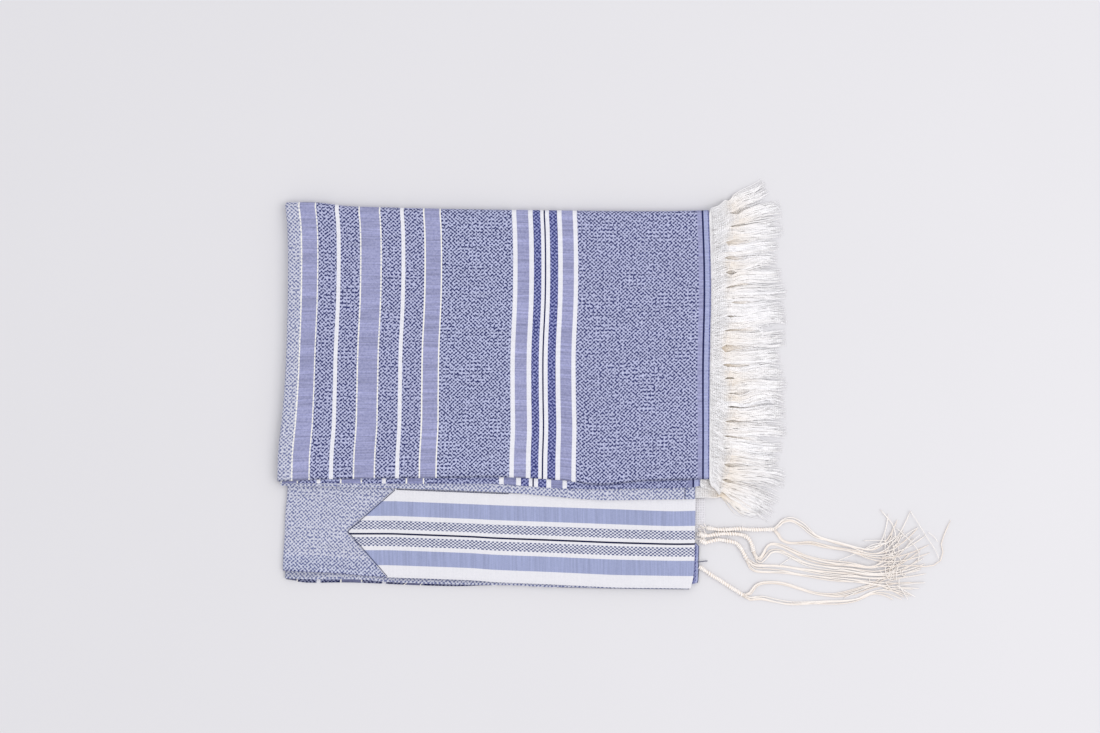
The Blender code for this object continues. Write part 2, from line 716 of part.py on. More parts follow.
def wound_ring(vertices, cord, share, across, up):
    """Puts one ring of the wound length. Its last ring is a flat block, a cell for a strand."""
    x, y = along(cord["wound"], share)
    left = left_of(cord["wound"], share)
    z = mix(cord["start_z"], CORD_REST_Z, ease(share * 4))
    off_knot = min(abs(share - knot) for knot in KNOTS) / KNOT_SHARE
    radius = CORD_R + CORD_KNOT * math.exp(-(off_knot**2))
    for v in vertices:
        a, b = v[across], v[up]
        side = a * math.sqrt(1 - b * b / 2) * radius
        lift = b * math.sqrt(1 - a * a / 2) * radius
        if share == 1.0:
            side, lift = a * 2 * ROOT_PITCH, b * ROOT_PITCH
        v.co = (x + left[0] * side, y + left[1] * side, z + lift)


def tzitzit(name, cord, material):
    """One corner's cord: four strands side by side in each of two rows leave its end."""
    bm = bmesh.new()
    bmesh.ops.create_grid(bm, x_segments=4, y_segments=2, size=1.0)
    across = bm.verts.layers.float.new("across")
    up = bm.verts.layers.float.new("up")
    for v in bm.verts:
        v[across], v[up] = v.co.x, v.co.y
    wound_ring(bm.verts, cord, 0.0, across, up)
    faces = bm.faces[:]
    for i in range(1, CORD_RINGS):
        faces = grown(bm, faces, keep=i == 1)
        wound_ring(corners(faces), cord, i / (CORD_RINGS - 1), across, up)
    for face in faces:
        a, b = mark(face, across), mark(face, up)
        hank = "left" if b > 0 else "right"
        slot = round((a + 1) * 2 - 0.5)  # 0 at the right of the cord and 3 at its left
        end = cord["ends"][3 - slot if hank == "left" else 7 - slot]
        grow_strand(bm, face, cord, hank, (slot - 1.5) * STRAND_PITCH, end, across, up)
    bmesh.ops.scale(bm, vec=(MM, MM, MM), verts=bm.verts[:])
    show(bm, name, material, 60.0)


def grow_strand(bm, face, cord, hank, offset, end, across, up):
    """Takes one strand along its hank's route, beside its neighbours, and out to its end. The
    left hank leaves above the right one, and lies down once the two have parted."""
    route = cord[hank]
    a, b = mark(face, across), mark(face, up)
    places = []
    for i in range(STRAND_STEPS):
        share = (i / (STRAND_STEPS - 1)) ** 1.4  # closer together where the hanks part
        x, y = along(route, share)
        left = left_of(route, share)
        drop = 1.3 * (1 - ease((share - 0.1) / 0.16)) if hank == "left" else 0.0
        places.append((x + left[0] * offset, y + left[1] * offset, drop, left))
    last = places[-1]
    left = heading(last, end)[1]
    for part in (0.5, 1.0):
        places.append((mix(last[0], end[0], part), mix(last[1], end[1], part), 0.0, left))
    for x, y, drop, left in places:
        face = bmesh.ops.extrude_discrete_faces(bm, faces=[face])["faces"][0]
        z = FLOOR_Z + drop + LEVEL * cord["level"] * ease((x - MEET_FROM) / (MEET_TO - MEET_FROM))
        half = STRAND * 0.5 if (x, y) == tuple(end) else STRAND
        for v in face.verts:
            side, lift = (half if v[across] > a else -half), (half if v[up] > b else -half)
            v.co = (x + left[0] * side, y + left[1] * side, z + lift)


def main():
    clear_scene()
    blue = finish("blue_weave", (0.30, 0.33, 0.52), 0.9)
    light = finish("light_weave", (0.47, 0.50, 0.63), 0.9)
    band = finish("band_weave", (0.62, 0.64, 0.76), 0.85)
    net = finish("sheer_net", (0.82, 0.82, 0.84), 0.9)
    cotton = finish("cotton_fringe", (0.83, 0.80, 0.76), 0.9)
    end_panel_top(blue)
    end_panel_second(blue)
    body_third(light)
    hidden_layers(light)
    neck_panel(light)
    lower_sheet("end_panel_inner", INNER_HEM, INNER_RIGHT, PITCH, blue)
    lower_sheet("end_panel_bottom", BOTTOM_HEM, BOTTOM_RIGHT, 0.0, blue)
    atara(band)
    corner_patch(net)
    fringe_top(cotton)
    fringe_second(cotton)
    for name, cord in CORDS.items():
        tzitzit(name, cord, cotton)


main()
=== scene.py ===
import itertools
import math

import bmesh
import bpy
import numpy as np
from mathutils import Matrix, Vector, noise


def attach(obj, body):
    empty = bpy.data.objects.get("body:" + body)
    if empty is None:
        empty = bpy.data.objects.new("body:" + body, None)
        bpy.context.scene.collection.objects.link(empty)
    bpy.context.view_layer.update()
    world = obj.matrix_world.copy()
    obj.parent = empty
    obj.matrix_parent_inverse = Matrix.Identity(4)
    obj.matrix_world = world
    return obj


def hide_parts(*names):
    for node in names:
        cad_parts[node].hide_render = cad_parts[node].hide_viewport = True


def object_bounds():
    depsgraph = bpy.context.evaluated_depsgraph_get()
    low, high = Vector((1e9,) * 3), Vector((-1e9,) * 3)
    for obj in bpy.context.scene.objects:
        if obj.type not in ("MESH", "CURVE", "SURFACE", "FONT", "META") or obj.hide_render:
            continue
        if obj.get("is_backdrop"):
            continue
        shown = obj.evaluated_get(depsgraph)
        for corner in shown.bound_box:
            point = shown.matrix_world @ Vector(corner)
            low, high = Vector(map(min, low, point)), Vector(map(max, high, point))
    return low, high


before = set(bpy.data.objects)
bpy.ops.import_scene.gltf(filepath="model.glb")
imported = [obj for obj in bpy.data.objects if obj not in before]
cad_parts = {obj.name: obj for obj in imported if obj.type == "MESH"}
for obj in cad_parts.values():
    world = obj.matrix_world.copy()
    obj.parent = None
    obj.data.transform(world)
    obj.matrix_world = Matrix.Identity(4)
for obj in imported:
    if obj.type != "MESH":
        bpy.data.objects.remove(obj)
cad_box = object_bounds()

# A tallit, the Jewish prayer shawl, folded in four along its length and once across its width,
# and laid flat. Sizes are in mm up to the point where a vertex is placed. +X runs along the
# shawl to its fringed ends, and +Y from the neck edge to the cross fold.


# ---------------------------------------------------------------- the lowest end panel
# The shawl is one length of cotton cloth, woven in one piece. Its ends carry the broad stripes
# and this quarter of it lies on the surface, with only its long edge and its end in view.

MM = 0.001
WALL = 1.0  # a layer of the cloth, with the air that a loose fold keeps
PITCH = 1.5  # from one layer to the next
AIR = 0.3  # between a layer and what lies on it
PILE = 5.7  # four layers
STACK = 11.7  # the pile folded over itself
CROSS_R = STACK / 2  # outer radius of the cross fold
OUTER_R = PILE / 2  # radius of a fold round the whole pile
INNER_R = 1.35  # radius of a fold of two layers
SEAM = 0.6  # how far a lower layer stops short of the cross fold

# Edges seen from above. Rows of (y, x).
FLAP_LEFT = [
    (-95.0, -360.3), (-63.0, -359.3), (-25.0, -355.2), (14.0, -352.0), (65.0, -349.9),
    (117.0, -348.8), (168.0, -349.0), (190.0, -350.5), (204.0, -352.5),
]
LOWER_LEFT = [
    (-205.0, -354.9), (-179.0, -354.7), (-153.0, -353.1), (-127.0, -352.0), (-102.0, -349.9),
    (0.0, -350.3), (100.0, -348.4), (200.0, -350.8),
]
BOTTOM_RIGHT = [
    (-210.5, 80.5), (-205.2, 81.5), (-204.2, 88.0), (-163.5, 88.7), (-160.5, 86.4), (-105.0, 86.4),
    (-60.0, 93.0), (195.0, 101.0),
]
# Rows of (x, y).
FOLD_EDGE = [
    (-353.0, 204.4), (-319.0, 204.2), (-302.0, 202.2), (-285.0, 200.2), (-250.0, 199.0),
    (-165.0, 196.9), (-79.0, 195.8), (41.0, 194.7), (103.0, 195.8),
]
BOTTOM_HEM = [
    (-352.0, -199.6), (-342.5, -200.3), (-337.0, -203.2), (-281.0, -203.3), (-216.0, -206.0),
    (-165.0, -207.3), (-138.0, -206.2), (-105.0, -206.4), (-74.0, -208.1), (0.0, -209.8), (82.0, -210.7),
]
# Soft waves left in the folded cloth, which swell the pile. Rows of
# (x, y, turn in degrees, half length, half width, swell as a share of the height).
WAVES = [
    (-345.0, 60.0, 90.0, 190.0, 16.0, 0.05),
    (-150.0, 185.0, 0.0, 240.0, 14.0, 0.05),
    (-215.0, 120.0, 22.0, 150.0, 34.0, -0.06),
    (-60.0, 40.0, -30.0, 130.0, 38.0, 0.05),
    (-20.0, -98.0, 4.0, 80.0, 36.0, 0.05),
    (35.0, 110.0, 60.0, 90.0, 30.0, -0.05),
    (-260.0, -20.0, -12.0, 120.0, 30.0, 0.04),
    (60.0, -40.0, 80.0, 80.0, 24.0, 0.04),
    (-120.0, -160.0, -3.0, 170.0, 26.0, 0.05),
    (-320.0, -150.0, 70.0, 60.0, 22.0, -0.05),
]
RIPPLE, RIPPLE_LENGTH = 0.022, 46.0  # share of the height, and size, of the smallest waves


def mix(a, b, share):
    return a + (b - a) * share


def ease(share):
    share = min(max(share, 0.0), 1.0)
    return share * share * (3 - 2 * share)


def curve(rows, at):
    """Reads the smooth line through (place, value) rows at one place, level past both ends."""
    if at <= rows[0][0]:
        return rows[0][1]
    if at >= rows[-1][0]:
        return rows[-1][1]
    i = max(k for k in range(len(rows) - 1) if rows[k][0] <= at)

    def slope(k):
        low, high = rows[max(k - 1, 0)], rows[min(k + 1, len(rows) - 1)]
        return (high[1] - low[1]) / (high[0] - low[0])

    span = rows[i + 1][0] - rows[i][0]
    t = (at - rows[i][0]) / span
    value = mix(rows[i][1], rows[i + 1][1], ease(t))
    return value + span * ((t**3 - 2 * t**2 + t) * slope(i) + (t**3 - t**2) * slope(i + 1))


def placed(x, y, z):
    """A point in metres, lifted by the waves in proportion to its height."""
    swell = RIPPLE * noise.noise((x / RIPPLE_LENGTH, y / RIPPLE_LENGTH, 0.0))
    for wave_x, wave_y, turn, half_length, half_width, amount in WAVES:
        angle = math.radians(turn)
        dx, dy = x - wave_x, y - wave_y
        along_it = (dx * math.cos(angle) + dy * math.sin(angle)) / half_length
        across_it = (dy * math.cos(angle) - dx * math.sin(angle)) / half_width
        swell += amount * math.exp(-along_it * along_it - across_it * across_it)
    return (x * MM, y * MM, z * (1 + swell) * MM)


def edge_of(rows, shift=0.0):
    """The smooth line through rows, moved by shift, as a function of the place along it."""
    return lambda at: curve(rows, at) + shift


fold_line = edge_of(FOLD_EDGE, -CROSS_R)  # where the flat of a layer ends and the cross fold begins


def linear(hex_colour):
    """A screen's hex colour as linear red, green, blue and alpha."""
    parts = [int(hex_colour[i : i + 2], 16) / 255 for i in (1, 3, 5)]
    return (*[p / 12.92 if p <= 0.04045 else ((p + 0.055) / 1.055) ** 2.4 for p in parts], 1.0)


def join(node, links):
    """Gives sockets a value, a socket or a node, which stands for its first output in use."""
    for socket, value in links.items():
        if isinstance(value, bpy.types.Node):
            value = next(o for o in value.outputs if o.enabled)
        if isinstance(value, bpy.types.NodeSocket):
            node.id_data.links.new(value, node.inputs[socket])
        else:
            node.inputs[socket].default_value = value
    return node


def matt(name, roughness=0.9, specular=0.2, sheen=0.0, sheen_roughness=0.5):
    """A matt material, its shader, and the function that adds a node to it."""
    made = bpy.data.materials.new(name)
    made.use_nodes = True

    def add(kind, links=None, **settings):
        node = made.node_tree.nodes.new("ShaderNode" + kind)
        for key, value in settings.items():
            setattr(node, key, value)
        return join(node, links or {})

    shader = join(made.node_tree.nodes["Principled BSDF"], {
        "Roughness": roughness, "Specular IOR Level": specular,
        "Sheen Weight": sheen, "Sheen Roughness": sheen_roughness,
    })
    return made, shader, add


def ribs(add, place, pitch):
    """How high rounded ribs lie, a pitch apart, along and across a map."""
    heights = []
    for axis in "XY":
        angle = add("Math", {0: place.outputs[axis], 1: math.pi / (pitch * MM)}, operation="MULTIPLY")
        wave = add("Math", {0: angle}, operation="SINE")
        heights.append(add("Math", {0: wave}, operation="ABSOLUTE"))
    return heights


THREAD = 0.62  # spacing of the threads, drawn a little coarser than the usual 0.4 mm


def woven(name, ground, fleck, repeat, cover, wander, slub, relief, twill=0.0, rows=0.0):
    """Cotton cloth, piece-dyed yarn on a plain ground. Where the darker yarn floats over the
    ground it shows as flecks in a staggered repeat, which is what gives the cloth its speckle.
    Cotton is matt, with a faint sheen from the loose fibre on its surface.

    repeat is the size of the pattern along and across the shawl in mm, cover the share of it
    that the flecks take, wander how far the yarn strays in mm, slub the strength of the thick
    and thin places along the warp, relief the depth of the weave in mm, twill how far the flecks
    run together in slanting lines, and rows how far in straight ones. A vertex attribute darkens
    the cloth near a hem, mostly as painted shade; at the top layer's hem it is partly a darker selvedge."""
    made, shader, add = matt(name, 0.92, sheen=0.05, sheen_roughness=0.6)
    cloth_map = add("UVMap", uv_map="cloth")

    def speckle(scale, detail=1.0, place=cloth_map):
        links = {"Vector": place, "Scale": scale, "Detail": detail}
        return add("TexNoise", links, noise_dimensions="2D")

    # The yarn wanders a little, so the repeat never lines up for long.
    stray = {0: speckle(60.0, 2.0).outputs["Color"], 1: (0.5, 0.5, 0.5)}
    centred = add("VectorMath", stray, operation="SUBTRACT")
    drift = add("VectorMath", {0: centred, "Scale": wander * MM}, operation="SCALE")
    moved = add("VectorMath", {0: cloth_map, 1: drift}, operation="ADD")
    place = add("SeparateXYZ", {0: moved})
    angles = [
        add("Math", {0: place.outputs[axis], 1: math.tau / (size * MM)}, operation="MULTIPLY")
        for axis, size in zip("XY", repeat)
    ]
    sines = [add("Math", {0: angle}, operation="SINE") for angle in angles]
    staggered = add("Math", {0: sines[0], 1: sines[1]}, operation="MULTIPLY")
    slant = add("Math", {0: angles[0], 1: angles[1]}, operation="ADD")
    slanting = add("Math", {0: slant}, operation="SINE")
    twilled = add("Mix", {0: twill, 2: staggered, 3: slanting}, data_type="FLOAT")
    # In patches some centimetres wide the flecks run together in rows.
    patches = add("MapRange", {"Value": speckle(38.0), "From Min": 0.48, "From Max": 0.62, "To Max": rows})
    pattern = add("Mix", {0: patches, 2: twilled, 3: sines[1]}, data_type="FLOAT")
    # Some threads float longer than their neighbours, most where the yarn strays.
    loose = min(wander, 1.0) * 1.1
    lifted = add("Math", {0: speckle(420.0), 1: 2 * loose, 2: -loose}, operation="MULTIPLY_ADD")
    ragged = add("Math", {0: pattern, 1: lifted}, operation="ADD")
    rim, soft = 1 - 2 * cover, 0.3
    shows = add(
        "MapRange", {"Value": ragged, "From Min": rim - soft, "From Max": rim + soft},
        interpolation_type="SMOOTHSTEP",
    )
    # Thick and thin places run along the warp, one or two threads wide, in broader bands.
    tones = []
    for scale, share in (((22.0, 620.0, 1.0), 1.0), ((9.0, 90.0, 1.0), 0.5)):
        slubs = speckle(1.0, 2.0, add("Mapping", {"Vector": cloth_map, "Scale": scale}))
        span = {"From Min": 0.25, "From Max": 0.75, "To Min": 1 - slub * share, "To Max": 1 + slub * share}
        tones.append(add("MapRange", {"Value": slubs, **span}))
    # Fine threads of the ground itself, both ways. Their colour is darker between them, as painted shade,
    # and a little lighter on their crowns, as painted light.
    fine = ribs(add, place, THREAD)
    threads_high = add("Math", {0: fine[0], 1: fine[1]}, operation="MULTIPLY")
    tones.append(add("MapRange", {"Value": threads_high, "To Min": 0.9, "To Max": 1.06}))
    # Painted shade near a hem darkens dyed yarn fully and white yarn only a little.
    hem_shade = add("Attribute", attribute_name="hem_shade")
    share = -0.2 if linear(ground)[0] > 0.8 else -1.0
    tones.append(add("Math", {0: hem_shade.outputs["Fac"], 1: share, 2: 1.0}, operation="MULTIPLY_ADD"))
    tone = tones[0]
    for other in tones[1:]:
        tone = add("Math", {0: tone, 1: other}, operation="MULTIPLY")
    dyed = add("Mix", {0: shows, 6: linear(ground), 7: linear(fleck)}, data_type="RGBA", clamp_factor=True)
    toned = add("VectorMath", {0: dyed, "Scale": tone}, operation="SCALE")
    height = add("Math", {0: threads_high, 1: shows}, operation="SUBTRACT")
    bump = add("Bump", {"Strength": 0.5, "Distance": relief * MM, "Height": height})
    join(shader, {"Base Color": toned, "Normal": bump})
    return made


# The finishes of the cloth, as rows of what woven takes. The flecks repeat every 4 mm or so, both
# ways, which is their real size.
FINISHES = [
    ("speckled_weave", "#BBBFDE", "#2C3268", (4.2, 4.05), 0.46, 1.5, 0.06, 0.35, 0.15, 0.3),
    ("blue_weave", "#BDC2E1", "#282E64", (4.2, 4.05), 0.46, 1.5, 0.07, 0.35, 0.1, 0.3),
    ("navy_weave", "#9297C7", "#333A76", (4.2, 4.05), 0.54, 0.9, 0.05, 0.3, 0.1, 0.3),
    ("lavender_plain", "#A2A4C7", "#8689B1", (1.6, 1.6), 0.4, 1.0, 0.2, 0.15),
    ("white_rib", "#F0F0F5", "#E4E4EE", (1.3, 1.3), 0.4, 0.5, 0.03, 0.3),
    ("cream_thread", "#F4F2EC", "#BABDCF", (9.0, 3.6), 0.14, 2.0, 0.03, 0.3),
    ("edge_lavender", "#ABB0D2", "#9299C2", (1.6, 1.6), 0.4, 1.0, 0.15, 0.15),
    ("edge_thread", "#7378AC", "#3A4079", (2.6, 3.6), 0.4, 1.0, 0.05, 0.3),
    ("turned_thread", "#8F93BE", "#4A508A", (2.6, 3.6), 0.4, 1.0, 0.05, 0.3),
    ("navy_thread", "#1F2557", "#191E4A", (1.6, 2.2), 0.5, 1.0, 0.05, 0.3),
    ("pale_weave", "#CED0DF", "#6D749D", (4.2, 4.05), 0.43, 1.7, 0.06, 0.3, 0.0, 0.3),
    ("selvedge_twill", "#C8CCDF", "#616893", (4.2, 4.05), 0.46, 1.5, 0.06, 0.3, 0.2),
    # The next two rows are darker copies of the speckled, blue and lavender finishes: painted shade.
    ("tight_weave", "#B0B5D8", "#353B6F", (4.1, 3.95), 0.48, 1.2, 0.08, 0.35, 0.1, 0.35),
    ("tight_lavender", "#9093B8", "#767AA4", (1.6, 1.6), 0.4, 1.0, 0.2, 0.15),
]
finishes = {row[0]: woven(*row) for row in FINISHES}
# Darker copies of finishes, as painted shade for cloth that lies under a layer above or along a rolled
# hem.
SHADED_COPIES = {
    "speckled_weave": "tight_weave", "blue_weave": "tight_weave", "lavender_plain": "tight_lavender",
}

# The striped end of the cloth, from its fringed edge: (width, finish).
STRIPES = [
    (1.2, "edge_thread"), (4.6, "edge_lavender"), (2.0, "navy_thread"), (4.9, "lavender_plain"),
    (129.2, "speckled_weave"),
    (4.5, "white_rib"), (11.9, "lavender_plain"), (4.9, "white_rib"), (8.6, "navy_weave"),
    (4.2, "white_rib"), (1.6, "navy_thread"), (3.6, "white_rib"), (8.1, "navy_weave"),
    (4.9, "white_rib"), (12.6, "lavender_plain"), (4.7, "white_rib"),
    (76.2, "blue_weave"),
    (1.4, "cream_thread"), (16.0, "lavender_plain"), (1.6, "cream_thread"),
    (20.5, "speckled_weave"), (4.0, "white_rib"), (21.1, "speckled_weave"),
    (1.5, "cream_thread"), (20.4, "lavender_plain"), (1.5, "cream_thread"),
    (20.8, "speckled_weave"), (4.1, "white_rib"), (19.8, "speckled_weave"),
    (1.3, "cream_thread"), (15.9, "lavender_plain"), (1.5, "cream_thread"),
]


def lines_of(stripes, total, longest, rest="pale_weave"):
    """The lines that part a striped cloth into cells no wider than longest, from its first
    stripe's edge to total, and the finish of each cell. rest is the finish past the stripes."""
    lines, kinds, at = [0.0], [], 0.0
    for width, kind in [*stripes, (total, rest)]:
        width = min(width, total - at)
        cells = math.ceil(width / longest)
        for i in range(cells):
            lines.append(at + width * (i + 1) / cells)
            kinds.append(kind)
        at += width
        if at >= total:
            break
    return lines, kinds


def striped_columns(stripes, pull, longest):
    """The columns of a panel from its left end to its fringed edge. pull has rows of (distance
    from the fringed edge along the cloth, share across the panel from its left)."""
    lines, kinds = lines_of(stripes, pull[-1][0], longest)
    return [(u, curve(pull, u), 0.0) for u in reversed(lines)], kinds[::-1]


# Swaps each finish for its darker copy, where there is one: painted shade.
def in_shade(kinds):
    return [SHADED_COPIES.get(kind, kind) for kind in kinds]


def even(start, end, count, first=0.0):
    """Columns or rows spread evenly over the flat of a panel, from the share first on."""
    return [(mix(start, end, s), s, 0.0) for s in np.linspace(first, 1.0, count)]


def turned(start, radius, steps, share=1.0):
    """Columns or rows round a fold, from the end of the flat on. share is where that end is."""
    turns = [math.pi * (i + 1) / steps for i in range(steps)]
    return [(start + radius * turn, share, turn) for turn in turns]


def mesh_of(name, bm):
    mesh = bpy.data.meshes.new(name)
    bm.to_mesh(mesh)
    bm.free()
    return mesh


def in_scene(name, data):
    made = bpy.data.objects.new(name, data)
    bpy.context.scene.collection.objects.link(made)
    return made


SWAY_FADE = 1 / 12  # share of the width over which a sway dies out at both sides
SHARP = math.radians(50)  # an edge that turns more than this isn't shaded smooth


def lay_cloth(
    name, columns, kinds, rows, top, edges, radii=(0.0, 0.0), wall=WALL, by_row=False,
    hem_shade=((0.0, 0.0),), sway=((0.0, 0.0),),
):
    """Makes one layer of cloth as a closed wall. A column is (cloth distance along the shawl,
    share across, turn round a side fold) and a row is (cloth distance across the shawl, share
    up, turn round the cross fold). kinds names the finish of each cell, along the columns or
    the rows, or is one name. edges are four functions: the low and high edge's y at an x, and
    the left and right edge's x at a y. top is the height of the layer's upper side, and radii
    are those of its left and right folds. hem_shade has rows of (cloth distance from the hem,
    how much painted shade darkens the cloth there), and sway rows of (y, how far the stripes
    lie to the right of true there)."""
    low, high, left, right = edges
    wide, long = len(columns) - 1, len(rows) - 1
    bm = bmesh.new()
    bmesh.ops.create_grid(bm, x_segments=wide, y_segments=long, size=1.0)
    column_of = bm.verts.layers.int.new("column")
    row_of = bm.verts.layers.int.new("row")
    hem_shade_at = bm.verts.layers.float.new("hem_shade")
    for v in bm.verts:
        v[column_of] = round((v.co.x + 1) / 2 * wide)
        v[row_of] = round((v.co.y + 1) / 2 * long)
    made = bmesh.ops.extrude_face_region(bm, geom=bm.faces[:])["geom"]
    under = {v for v in made if isinstance(v, bmesh.types.BMVert)}
    for v in bm.verts:
        _, across, side_turn = columns[v[column_of]]
        up_cloth, up, cross_turn = rows[v[row_of]]
        v[hem_shade_at] = curve(hem_shade, up_cloth)
        inward = wall if v in under else 0.0
        # The edges aren't square, so x and y are found together, from a guess amid the pile.
        x, y = -120.0, -50.0
        for _ in range(4):
            y = mix(low(x), high(x), up)
            x = mix(left(y), right(y), across)
        x += curve(sway, y) * min(across / SWAY_FADE, (1 - across) / SWAY_FADE, 1.0)
        deep = inward
        if side_turn:
            radius, way = (radii[0], -1) if across == 0.0 else (radii[1], 1)
            deep = radius - (radius - inward) * math.cos(side_turn)
            x += (radius - inward) * math.sin(side_turn) * way
        reach = top - deep - CROSS_R
        v.co = placed(x, y + reach * math.sin(cross_turn), CROSS_R + reach * math.cos(cross_turn))
    bmesh.ops.recalc_face_normals(bm, faces=bm.faces[:])
    place_of, cells = (row_of, long) if by_row else (column_of, wide)
    if isinstance(kinds, str):
        kinds = [kinds] * cells
    slots = list(dict.fromkeys(kinds))
    cloth_map = bm.loops.layers.uv.new("cloth")
    for face in bm.faces:
        cell = min(min(v[place_of] for v in face.verts), cells - 1)
        face.material_index = slots.index(kinds[cell])
        for loop in face.loops:
            v = loop.vert
            loop[cloth_map].uv = (columns[v[column_of]][0] * MM, rows[v[row_of]][0] * MM)
    mesh = mesh_of(name, bm)
    mesh.shade_smooth()
    mesh.set_sharp_from_angle(angle=SHARP)
    for slot in slots:
        mesh.materials.append(finishes[slot])
    piece = in_scene(name, mesh)
    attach(piece, "root")
    return piece


lower_high = edge_of(FOLD_EDGE, -CROSS_R - SEAM)
lower_left = edge_of(LOWER_LEFT, OUTER_R + AIR)
HEM_ROWS = [0.0, 0.5, 1.2, 2.4, 4.0, 8.0]
CORNER_ROWS = [5.2, 6.2, 20.0, 44.5, 47.5, 50.5, 53.5]  # beside the step in the right edge


def hemmed_rows(length, count, extra=()):
    """Flat rows, closer together beside the hem, with extra ones where an edge steps in."""
    close = [(v, v / length, 0.0) for v in (*HEM_ROWS[:-1], *extra)]
    return sorted(close + even(0.0, length, count, HEM_ROWS[-1] / length))


columns, kinds = striped_columns(STRIPES, [(0.0, 1.0), (432.9, 0.0)], 14.0)
# Its speckled, blue and lavender cells take darker copies of their finishes, and its rows at the hem are
# darker still: painted shade along its rolled hem.
bottom = lay_cloth(
    "bottom_panel", columns, in_shade(kinds), hemmed_rows(400.0, 20, CORNER_ROWS), WALL,
    (edge_of(BOTTOM_HEM), lower_high, lower_left, edge_of(BOTTOM_RIGHT)),
    hem_shade=((0.0, 0.5), (2.2, 0.42), (3.4, 0.0)),
)
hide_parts("end_panel_bottom")


# ---------------------------------------------------------------- the next end panel
# The quarter of the cloth from the other end. It shows as a dark strip along the long edge, and
# its own end, turned under, is the navy and lavender strip beside the neckband.

INNER_RIGHT = [
    (-210.0, 80.5), (-205.0, 81.5), (-204.0, 89.6), (-180.0, 90.8), (-163.0, 91.2), (-160.0, 86.6),
    (-105.0, 86.6), (-90.0, 91.5), (195.0, 91.5),
]
INNER_HEM = [(-352.0, -197.4), (-271.0, -198.6), (-243.0, -201.4), (-138.0, -204.8), (90.0, -208.8)]
TURNED_END = [(0.7, "navy_thread"), (2.0, "edge_lavender"), (2.0, "turned_thread")]

stripes = [*TURNED_END, (4.2, "navy_weave"), *STRIPES[3:]]
columns, kinds = striped_columns(stripes, [(0.0, 1.0), (428.0, 0.0)], 14.0)
# Its speckled, blue and lavender cells take darker copies of their finishes: painted shade along its hem
# under the layers above.
inner = lay_cloth(
    "inner_panel", columns, in_shade(kinds), hemmed_rows(398.0, 20, CORNER_ROWS), WALL + PITCH,
    (edge_of(INNER_HEM), lower_high, lower_left, edge_of(INNER_RIGHT)),
)
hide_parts("end_panel_inner")


# ---------------------------------------------------------------- the layers inside the pile
# Two plain layers of the middle of the cloth run inside the folds. The lower one shows as a
# pale strip along the long edge, and goes round the inside of the left fold.

HIDDEN_HEM = [
    (-352.0, -198.5), (-325.0, -199.5), (-291.0, -199.3), (-262.0, -200.3), (-243.0, -202.6),
    (-225.0, -203.2), (-190.0, -204.6), (-154.0, -205.4), (-129.0, -205.5), (-105.0, -206.1),
    (-74.0, -207.7), (-40.0, -208.3), (0.0, -209.2), (82.0, -209.9),
]
HIDDEN_TOP_HEM = [(-350.0, -97.5), (87.0, -99.5)]
LOWER_FOLD = [(-209.0, 81.0), (-195.0, 84.1), (-163.0, 85.4), (-113.0, 86.4), (195.0, 86.8)]
INSET = 2.4  # how far inside an outer fold the inner one lies
MIDDLE = 436.0  # length of a layer of the middle, from fold to fold

# Its rows near the hem are darker: painted shade below the neck panel's hem.
core = lay_cloth(
    "inside_layer", turned(MIDDLE, INNER_R, 5, 0.0)[::-1] + even(MIDDLE, 0.0, 30), "pale_weave",
    hemmed_rows(398.0, 24), PILE - PITCH,
    (
        edge_of(HIDDEN_HEM), lower_high,
        edge_of(LOWER_LEFT, INSET + INNER_R), edge_of(LOWER_FOLD, -INNER_R),
    ),
    radii=(INNER_R, 0.0), hem_shade=((1.0, 0.0), (3.0, 0.2), (8.0, 0.24), (20.0, 0.0)),
)
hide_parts("hidden_layers")

THIRD_RIGHT = 86.8
core_top = lay_cloth(
    "inside_layer_top", even(0.0, MIDDLE, 26), "pale_weave",
    even(0.0, 294.0, 18) + turned(294.0, CROSS_R - 3 * PITCH, 6), STACK - 3 * PITCH,
    (
        edge_of(HIDDEN_TOP_HEM), fold_line,
        edge_of(FLAP_LEFT, OUTER_R + 2 * AIR), lambda y: THIRD_RIGHT - INNER_R,
    ),
)


# ---------------------------------------------------------------- the panel at the neck
# The middle of the cloth, pale, with a band of twill along its selvedge. It turns round the
# whole pile at the left and round the centre fold at the right, and carries the neckband.

NECK_HEM = [(-355.0, -190.0), (-304.0, -192.5), (-250.0, -196.4), (82.0, -207.4)]
SELVEDGE = [(0.9, "speckled_weave"), (15.6, "selvedge_twill")]

lines, row_kinds = lines_of(SELVEDGE, 392.0, 5.0)
columns = turned(440.0, OUTER_R, 8, 0.0)[::-1] + even(440.0, 0.0, 90) + turned(0.0, -INNER_R, 5)
neck = lay_cloth(
    "neck_panel_cloth", columns, row_kinds, [(v, v / lines[-1], 0.0) for v in lines], PILE,
    (
        edge_of(NECK_HEM), lower_high,
        edge_of(LOWER_LEFT, OUTER_R), edge_of(LOWER_FOLD, -INNER_R),
    ),
    radii=(OUTER_R, INNER_R), by_row=True,
)
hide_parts("neck_panel")


# ---------------------------------------------------------------- the neckband
# The atara is a woven ribbon that marks the neck edge. It is striped along its length, its end
# is folded to a point, and it is sewn down along every edge.

